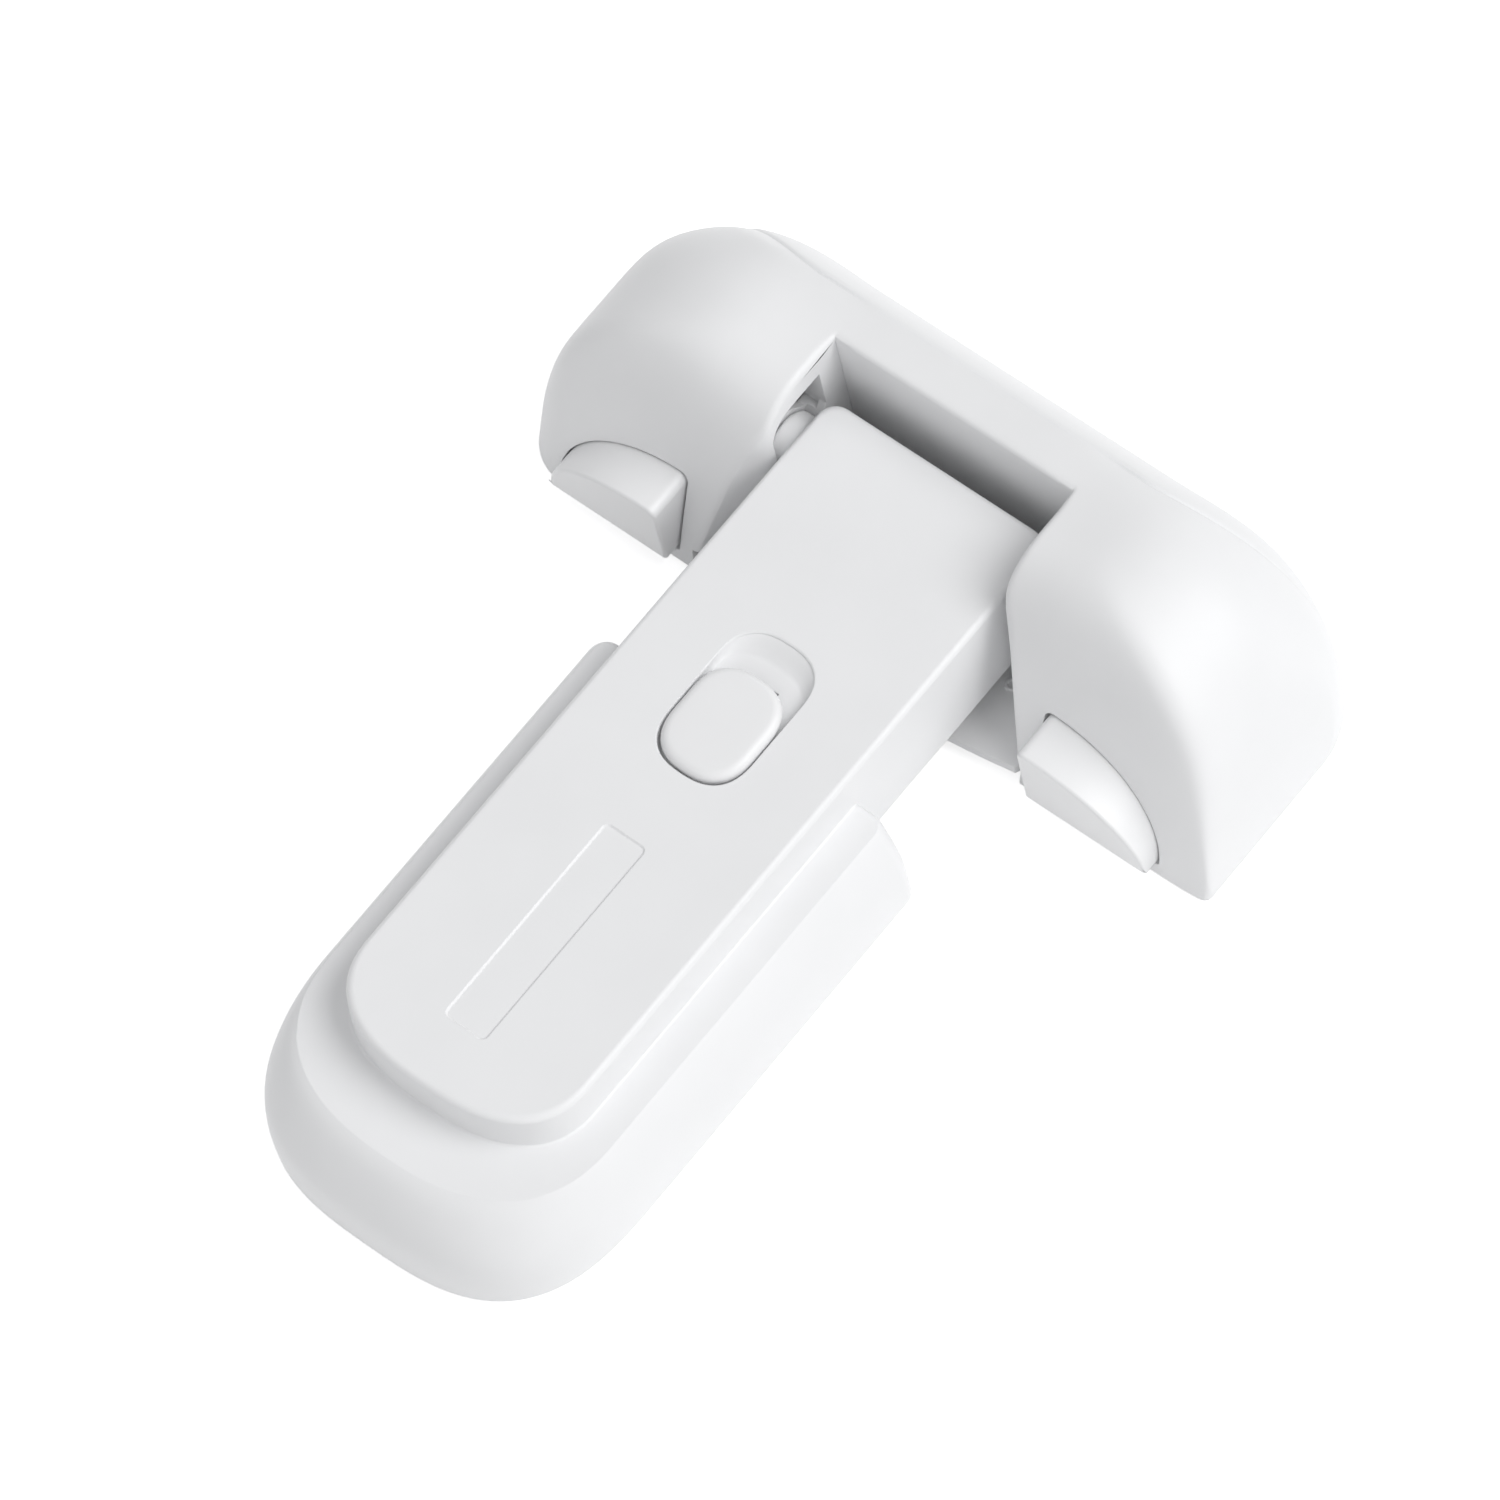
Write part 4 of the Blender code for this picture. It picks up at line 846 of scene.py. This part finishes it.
def makeHeadPlate():
    low, top = lock["plateLow"], lock["plateTop"]
    rings = []
    for inset, height in ((0.25, low), (0.0, low + 0.25), (0.0, top - 0.3), (0.1, top - 0.09), (0.3, top)):
        rings.append(raised(headPlateOutline(inset), height))
    piece = loft("headPlate", rings)
    radius, hole, height = mark["radius"], mark["hole"], catch["top"]
    for sign in sides.values():
        ends = outward(sign, button["near"] - 1.5, button["far"] + 1.5)
        carve(piece, block("notch", (head["start"], button["back"] + 5.3), ends, (0, 5)))
        ends = outward(sign, *catch["outs"])
        weld(piece, block("post", catch["post"], ends, (low + 0.5, height)))
        ends = [v * 0.999 for v in ends]
        weld(piece, block("lip", catch["lip"], ends, (catch["lipLow"], height - 0.01)))
        x, y = at(mark["place"]), sign * mark["out"]
        radii = ((0, radius), (0.8, radius), (1, radius - 0.13))
        ring = rod("mark", (x, y, top - 0.4), (x, y, top + mark["tall"]), radii, 32)
        carve(ring, post("markHole", mark["place"], y, top - 0.1, top + 1, hole))
        weld(piece, ring)
    return shadeSoft(piece, 35)


class Bench:
    # a short way to lay out and join a tree's nodes, with inputs named as in Blender but without spaces
    def __init__(self, tree, prefix):
        self.tree = tree
        self.prefix = prefix

    def add(self, kind, settings=None, **links):
        node = self.tree.nodes.new(kind if "Node" in kind else self.prefix + kind)
        for key, value in (settings or {}).items():
            setattr(node, key, value)
        for key, value in links.items():
            self.plug(node, key, value)
        return node

    def plug(self, node, key, value):
        # a node given as the value stands for its first output
        found = [s for s in node.inputs if s.name.replace(" ", "") == key and s.enabled]
        socket = found[0] if found else node.inputs[key]
        if isinstance(value, bpy.types.Node):
            value = value.outputs[0]
        if isinstance(value, bpy.types.NodeSocket):
            self.tree.links.new(value, socket)
        else:
            socket.default_value = value

    def math(self, operation, *values):
        node = self.add("ShaderNodeMath", {"operation": operation})
        for i, value in enumerate(values):
            self.plug(node, i, value)
        return node

    def vector(self, x=0.0, y=0.0, z=0.0):
        return self.add("ShaderNodeCombineXYZ", X=x, Y=y, Z=z)


class GeometryBench(Bench):
    # a Geometry Nodes tree with named inputs, which makes a piece on each of the points that it is run on
    def __init__(self, name, **inputs):
        super().__init__(bpy.data.node_groups.new(name, "GeometryNodeTree"), "GeometryNode")
        sockets = self.tree.interface
        for way in ("INPUT", "OUTPUT"):
            sockets.new_socket("Geometry", in_out=way, socket_type="NodeSocketGeometry")
        for label, value in inputs.items():
            sockets.new_socket(label, in_out="INPUT", socket_type="NodeSocketFloat").default_value = value
        sockets.new_socket("material", in_out="INPUT", socket_type="NodeSocketMaterial")
        self.given = self.tree.nodes.new("NodeGroupInput").outputs

    def finish(self, mesh):
        placed = self.add("InstanceOnPoints", Points=self.given["Geometry"], Instance=mesh)
        real = self.add("RealizeInstances", Geometry=placed)
        painted = self.add("SetMaterial", Geometry=real, Material=self.given["material"])
        self.add("NodeGroupOutput", Geometry=painted)

    def run(self, name, points, look, **values):
        # the result for those points, as one plain mesh
        mesh = bpy.data.meshes.new(name)
        mesh.from_pydata([Vector(point) * mm for point in points], [], [])
        obj = bpy.data.objects.new(name, mesh)
        bpy.context.scene.collection.objects.link(obj)
        step = obj.modifiers.new("nodes", "NODES")
        step.node_group = self.tree
        values["material"] = looks[look]
        for item in self.tree.interface.items_tree:
            if item.in_out == "INPUT" and item.name in values:
                step[item.identifier] = values[item.name]
        return settle(obj)


screw = {
    "headRadius": 2.2,
    "headHeight": 1.1,
    "shankRadius": 1.0,
    "shankLength": 6,  # the usual one, which placeScrews changes for each group
    "threadDepth": 0.17,
    "threadPitch": 0.9,
    "slotLength": 2.7,  # of each of the two slots that cross
    "slotWidth": 0.6,
    "slotDepth": 0.62,
}


def screwTree():
    # pan-head screws that point up: a threaded shank, a domed head and a cross slot
    bench = GeometryBench("screws", **{key: size * mm for key, size in screw.items()})
    given, calc = bench.given, bench.math
    height, rise, radius = given["headHeight"], given["shankLength"], given["shankRadius"]
    x, y, z = bench.add("ShaderNodeSeparateXYZ", Vector=bench.add("InputPosition")).outputs

    def reshaped(mesh, share, lift):
        # each point's distance from the axis times share, and the whole raised by lift
        moved = bench.vector(calc("MULTIPLY", x, share), calc("MULTIPLY", y, share), z)
        step = bench.add("SetPosition", Geometry=mesh, Position=moved)
        return bench.add("Transform", Geometry=step, Translation=bench.vector(0.0, 0.0, lift))

    shank = bench.add("MeshCylinder", Vertices=32, SideSegments=72, Radius=radius, Depth=rise)
    turn = calc("DIVIDE", calc("ARCTAN2", y, x), 2 * math.pi)
    phase = calc("SUBTRACT", calc("DIVIDE", z, given["threadPitch"]), turn)
    phase = calc("FRACT", calc("ADD", phase, 50.0))
    ridge = calc("SUBTRACT", 1.0, calc("MULTIPLY", calc("ABSOLUTE", calc("SUBTRACT", phase, 0.5)), 2.0))
    # the thread fades out at both ends, and the tip is drawn in
    along = calc("ADD", calc("DIVIDE", z, rise), 0.5)
    fade = calc("MINIMUM", calc("MULTIPLY", along, 6.0), calc("MULTIPLY", calc("SUBTRACT", 1.0, along), 8.0))
    fade = calc("MINIMUM", fade, 1.0)
    relief = calc("MULTIPLY", calc("MULTIPLY", ridge, fade), given["threadDepth"])
    tip = calc("MULTIPLY", calc("POWER", along, 8.0), -0.3)
    swell = calc("ADD", calc("ADD", calc("DIVIDE", relief, radius), tip), 1.0)
    lift = calc("ADD", calc("MULTIPLY", rise, 0.5), calc("MULTIPLY", height, 0.6))
    body = reshaped(shank, swell, lift)
    # the head narrows towards its outer face
    disc = bench.add("MeshCylinder", Vertices=48, SideSegments=10, Radius=given["headRadius"], Depth=height)
    under = calc("POWER", calc("SUBTRACT", 0.5, calc("DIVIDE", z, height)), 3.0)
    narrow = calc("SQRT", calc("SUBTRACT", 1.0, calc("MULTIPLY", under, 0.42)))
    dome = reshaped(disc, narrow, calc("MULTIPLY", height, 0.5))
    whole = bench.add("MeshBoolean", {"operation": "UNION", "solver": "EXACT"})
    for part in (body, dome):
        bench.plug(whole, "Mesh 2", part)
    slotted = bench.add("MeshBoolean", {"operation": "DIFFERENCE", "solver": "EXACT"})
    bench.plug(slotted, "Mesh 1", whole)
    tall = calc("MULTIPLY", given["slotDepth"], 2.0)
    for first, second in (("slotLength", "slotWidth"), ("slotWidth", "slotLength")):
        bar = bench.add("MeshCube", Size=bench.vector(given[first], given[second], tall))
        bench.plug(slotted, "Mesh 2", bar)
    bench.finish(slotted)
    return bench


spring = {
    "coil": 2.1,
    "wire": 0.3,
    "turns": 4.0,
    "start": 115.1,
    "end": 121.7,
    "out": 37,
    "height": 8,
    "seat": 122,
    "pressed": 0.5,  # share of its length that is left when the button is pressed
}


def springTree():
    # a wire wound along +X
    radii = {"coilRadius": spring["coil"] * mm, "wireRadius": spring["wire"] * mm}
    bench = GeometryBench("springs", turns=spring["turns"], length=8 * mm, **radii)
    given = bench.given
    coil = bench.add("CurveSpiral", Resolution=28, Rotations=given["turns"], Height=given["length"])
    for end in ("StartRadius", "EndRadius"):
        bench.plug(coil, end, given["coilRadius"])
    ring = bench.add("CurvePrimitiveCircle", Resolution=12, Radius=given["wireRadius"])
    wire = bench.add("CurveToMesh", Curve=coil, ProfileCurve=ring, FillCaps=True)
    bench.finish(bench.add("Transform", Geometry=wire, Rotation=(0, math.pi / 2, 0)))
    return bench


plastic = {
    "shell": ((0.845, 0.848, 0.855), 0.40),
    "knob": ((0.85, 0.852, 0.858), 0.36),
    "inner": ((0.70, 0.71, 0.73), 0.48),
    "grainSize": 0.16,  # millimetres across one dimple of the satin texture
    "grainDepth": 0.006,
    "edgeRound": 0.18,
}


class ShaderBench(Bench):
    # a material on the Principled shader
    def __init__(self, name):
        self.made = bpy.data.materials.new(name)
        self.made.use_nodes = True
        super().__init__(self.made.node_tree, "ShaderNode")
        self.where = self.add("TexCoord").outputs["Object"]

    def noise(self, scale, detail, **more):
        return self.add("TexNoise", Vector=self.where, Scale=scale, Detail=detail, **more)

    def cells(self, scale):
        return self.add("TexVoronoi", Vector=self.where, Scale=scale)

    def ramp(self, factor, low, high, start=0.3, end=0.7):
        ends = {"FromMin": start, "FromMax": end, "ToMin": low, "ToMax": high}
        return self.add("MapRange", Value=factor, **ends)

    def finish(self, colour, shade, rough, bump, **more):
        tint = self.add("HueSaturation", Color=(*colour, 1), Value=shade)
        values = {"BaseColor": tint, "Roughness": rough, "Normal": bump, **more}
        for key, value in values.items():
            self.plug(self.tree.nodes["Principled BSDF"], key, value)
        return self.made


def plasticMaterial(name, colour, roughness, coarse=1.0):
    bench = ShaderBench(name)
    size = plastic["grainSize"] * mm
    cloud = bench.noise(45.0, 3.0, Roughness=0.6)
    grain, speck = bench.noise(0.5 / size, 2.0), bench.cells(1 / (size * 2.2))
    shade = bench.ramp(cloud, 0.982, 1.012)
    rough = bench.ramp(cloud, roughness - 0.03, roughness + 0.03)
    rough = bench.math("ADD", rough, bench.ramp(grain, -0.035, 0.035))
    corner = bench.add("Bevel", {"samples": 10}, Radius=plastic["edgeRound"] * mm)
    height = bench.math("MULTIPLY_ADD", speck, 0.5, grain)
    depth = plastic["grainDepth"] * coarse * mm
    bump = bench.add("Bump", Strength=0.5, Distance=depth, Height=height, Normal=corner)
    return bench.finish(colour, shade, rough, bump, IOR=1.5, SpecularIORLevel=0.36)


def steelMaterial(name):
    bench = ShaderBench(name)
    cloud, fine = bench.noise(600.0, 3.0), bench.noise(5000.0, 1.0)
    shade, rough = bench.ramp(cloud, 0.9, 1.08), bench.ramp(cloud, 0.24, 0.38)
    bump = bench.add("Bump", Strength=0.4, Distance=0.004 * mm, Height=fine)
    return bench.finish((0.60, 0.60, 0.62), shade, rough, bump, Metallic=1.0)


def foamMaterial(name):
    bench = ShaderBench(name)
    cells, cloud = bench.cells(2600.0), bench.noise(180.0, 4.0)
    shade, rough = bench.ramp(cells, 0.86, 1.04, 0.0, 0.6), bench.ramp(cloud, 0.72, 0.9)
    bump = bench.add("Bump", Strength=0.7, Distance=0.05 * mm, Height=cells)
    return bench.finish((0.74, 0.75, 0.76), shade, rough, bump)


looks = {
    "shell": plasticMaterial("shellPlastic", *plastic["shell"]),
    "knob": plasticMaterial("knobPlastic", *plastic["knob"]),
    "inner": plasticMaterial("innerPlastic", *plastic["inner"], coarse=1.6),
    "steel": steelMaterial("brightSteel"),
    "foam": foamMaterial("adhesiveFoam"),
}


# every CAD node first gets the detailed finish of its own slot
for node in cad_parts.values():
    for slot in node.material_slots:
        base = slot.material.name.split(".")[0] if slot.material else "shell"
        slot.material = looks.get(base, looks["shell"])


def place(piece, body, look, *nodes):
    piece.data.materials.clear()
    piece.data.materials.append(looks[look])
    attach(piece, body)
    if nodes:
        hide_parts(*nodes)
    return piece


shell = place(makeBaseArm(), "base_arm", "shell", "base_arm_shell")
print("stage: base and arm", len(shell.data.polygons))
place(makeKnob(), "slider", "knob", "slider_knob")
for side, sign in sides.items():
    place(makePin(side, sign), "pin_" + side, "shell", "hinge_pin_" + side)
print("stage: slider and pins")
shell = place(makeHeadShell(), "head", "shell", "head_shell")
print("stage: head shell", len(shell.data.polygons))
place(makeHeadPlate(), "head", "shell", "head_base_plate")
for side, sign in sides.items():
    place(makeButton(side, sign), "button_" + side, "knob", "button_cap_" + side)
print("stage: buttons and plate")


def placeScrews():
    bench = screwTree()
    under = baseArm["armUnder"] - 0.05
    middle = knob["start"] + knob["length"] / 2
    # piece, body, shank length, height of its foot, each screw's place and distance out, and CAD nodes
    groups = [
        ("baseScrews", "base_arm", 7, lock["plateLow"], baseArm["bosses"], "base_screw"),
        ("coverScrew", "base_arm", 6, under, [(baseArm["coverScrew"], 0)], "cover_screw"),
        ("knobScrew", "slider", 4.6, knob["screwFoot"], [(middle, 0)], "knob_screw"),
        ("retainerScrews", "head", 5, retainer["screwFoot"], retainer["bosses"], "retainer_screw"),
    ]
    for name, body, length, low, spots, node in groups:
        feet, nodes = [], []
        for number, (spot, out) in enumerate(spots, 1):
            for side, sign in sides.items() if out else (("", 1),):
                feet.append((at(spot), sign * out, low))
                nodes.append(f"{node}_{side}_{number}" if side else node)
        # each shank starts 0.4 mm inside its head
        piece = bench.run(name, feet, "steel", shankLength=(length + 0.4) * mm)
        place(shadeSoft(piece, 35, False), body, "steel", *nodes)


def placeSprings():
    bench = springTree()
    long = (spring["end"] - spring["start"]) * mm
    for side, sign in sides.items():
        spot = (at(spring["start"]), sign * spring["out"], spring["height"])
        piece = bench.run("spring_" + side, [spot], "steel", length=long)
        place(shadeSoft(piece, 60, False), "head", "steel", "button_spring_" + side)
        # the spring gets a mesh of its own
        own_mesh(piece)


placeScrews()
placeSprings()
print("stage: screws and springs")


view = {
    "scale": 8.2959,  # photograph pixels for each millimetre at the lock's middle
    "distance": 1428.6,
    "middle": 5.75,
    "shift": (752.29, 795.85),
    "right": (0.6211, -0.7735, -0.1261),
    "back": (-0.2808, -0.3699, 0.8856),
}


def makeCamera():
    back = Vector(view["back"]).normalized()
    right = Vector(view["right"])
    right = (right - back * right.dot(back)).normalized()
    up = back.cross(right)
    lens = bpy.data.cameras.new("camera")
    lens.sensor_width = 36
    lens.lens = view["scale"] * view["distance"] / 1500 * 36
    lens.shift_x = (750 - view["shift"][0]) / 1500
    lens.shift_y = (view["shift"][1] - 750) / 1500
    lens.clip_end = 20
    camera = bpy.data.objects.new("camera", lens)
    bpy.context.scene.collection.objects.link(camera)
    turn = Matrix((right, up, back)).transposed().to_4x4()
    turn.translation = Vector((view["middle"] * mm, 0, 0)) + back * view["distance"] * mm
    camera.matrix_world = turn
    bpy.context.scene.camera = camera


def emptyBench(owner):
    owner.use_nodes = True
    owner.node_tree.nodes.clear()
    return Bench(owner.node_tree, "ShaderNode")


def seenDirectly(bench):
    # 1 for the camera's rays and for what they reflect or look through, and 0 for all other light
    path = bench.add("LightPath").outputs
    found = bench.math("MAXIMUM", path["Is Camera Ray"], path["Is Glossy Ray"])
    return bench.math("MAXIMUM", found, path["Is Transmission Ray"])


studio = {"paper": 0.85, "glow": 0.62, "ambient": 0.48}


def makeFloor():
    shape = bmesh.new()
    corners = [(-3, -3), (3, -3), (3, 3), (-3, 3)]
    shape.faces.new([shape.verts.new((x, y, -0.00005)) for x, y in corners])
    floor = fromBmesh("floor", shape)
    made = bpy.data.materials.new("floorPaper")
    bench = emptyBench(made)
    paper = bench.add("BsdfDiffuse", Color=(studio["paper"],) * 3 + (1,))
    share = bench.math("MULTIPLY", seenDirectly(bench), studio["glow"])
    glow = bench.add("Emission", Color=(1, 1, 1, 1), Strength=share)
    both = bench.add("AddShader")
    bench.plug(both, 0, paper)
    bench.plug(both, 1, glow)
    bench.add("OutputMaterial", Surface=both)
    floor.data.materials.append(made)


def makeWorld():
    world = bpy.data.worlds.new("studio")
    bench = emptyBench(world)
    ambient = bench.add("Background", Color=(0.985, 0.99, 1.0, 1), Strength=studio["ambient"])
    backdrop = bench.add("Background", Color=(1, 1, 1, 1))
    both = bench.add("MixShader", Fac=seenDirectly(bench))
    bench.plug(both, 1, ambient)
    bench.plug(both, 2, backdrop)
    bench.add("OutputWorld", Surface=both)
    bpy.context.scene.world = world


lamps = {
    # direction that the light comes from, irradiance, and the lamp's size in degrees
    "key": ((0.31, -0.61, 0.73), 1.72, 40),
    "fill": ((-0.77, -0.25, 0.59), 0.3, 60),
}


def makeLamps():
    for name, (direction, strength, spreadAngle) in lamps.items():
        lamp = bpy.data.lights.new(name, "SUN")
        lamp.energy = strength
        lamp.angle = math.radians(spreadAngle)
        holder = bpy.data.objects.new(name, lamp)
        bpy.context.scene.collection.objects.link(holder)
        holder.rotation_euler = Vector(direction).to_track_quat("Z", "Y").to_euler()


makeCamera()
makeFloor()
makeWorld()
makeLamps()
bpy.context.scene.view_settings.view_transform = "Standard"
print("stage: studio")
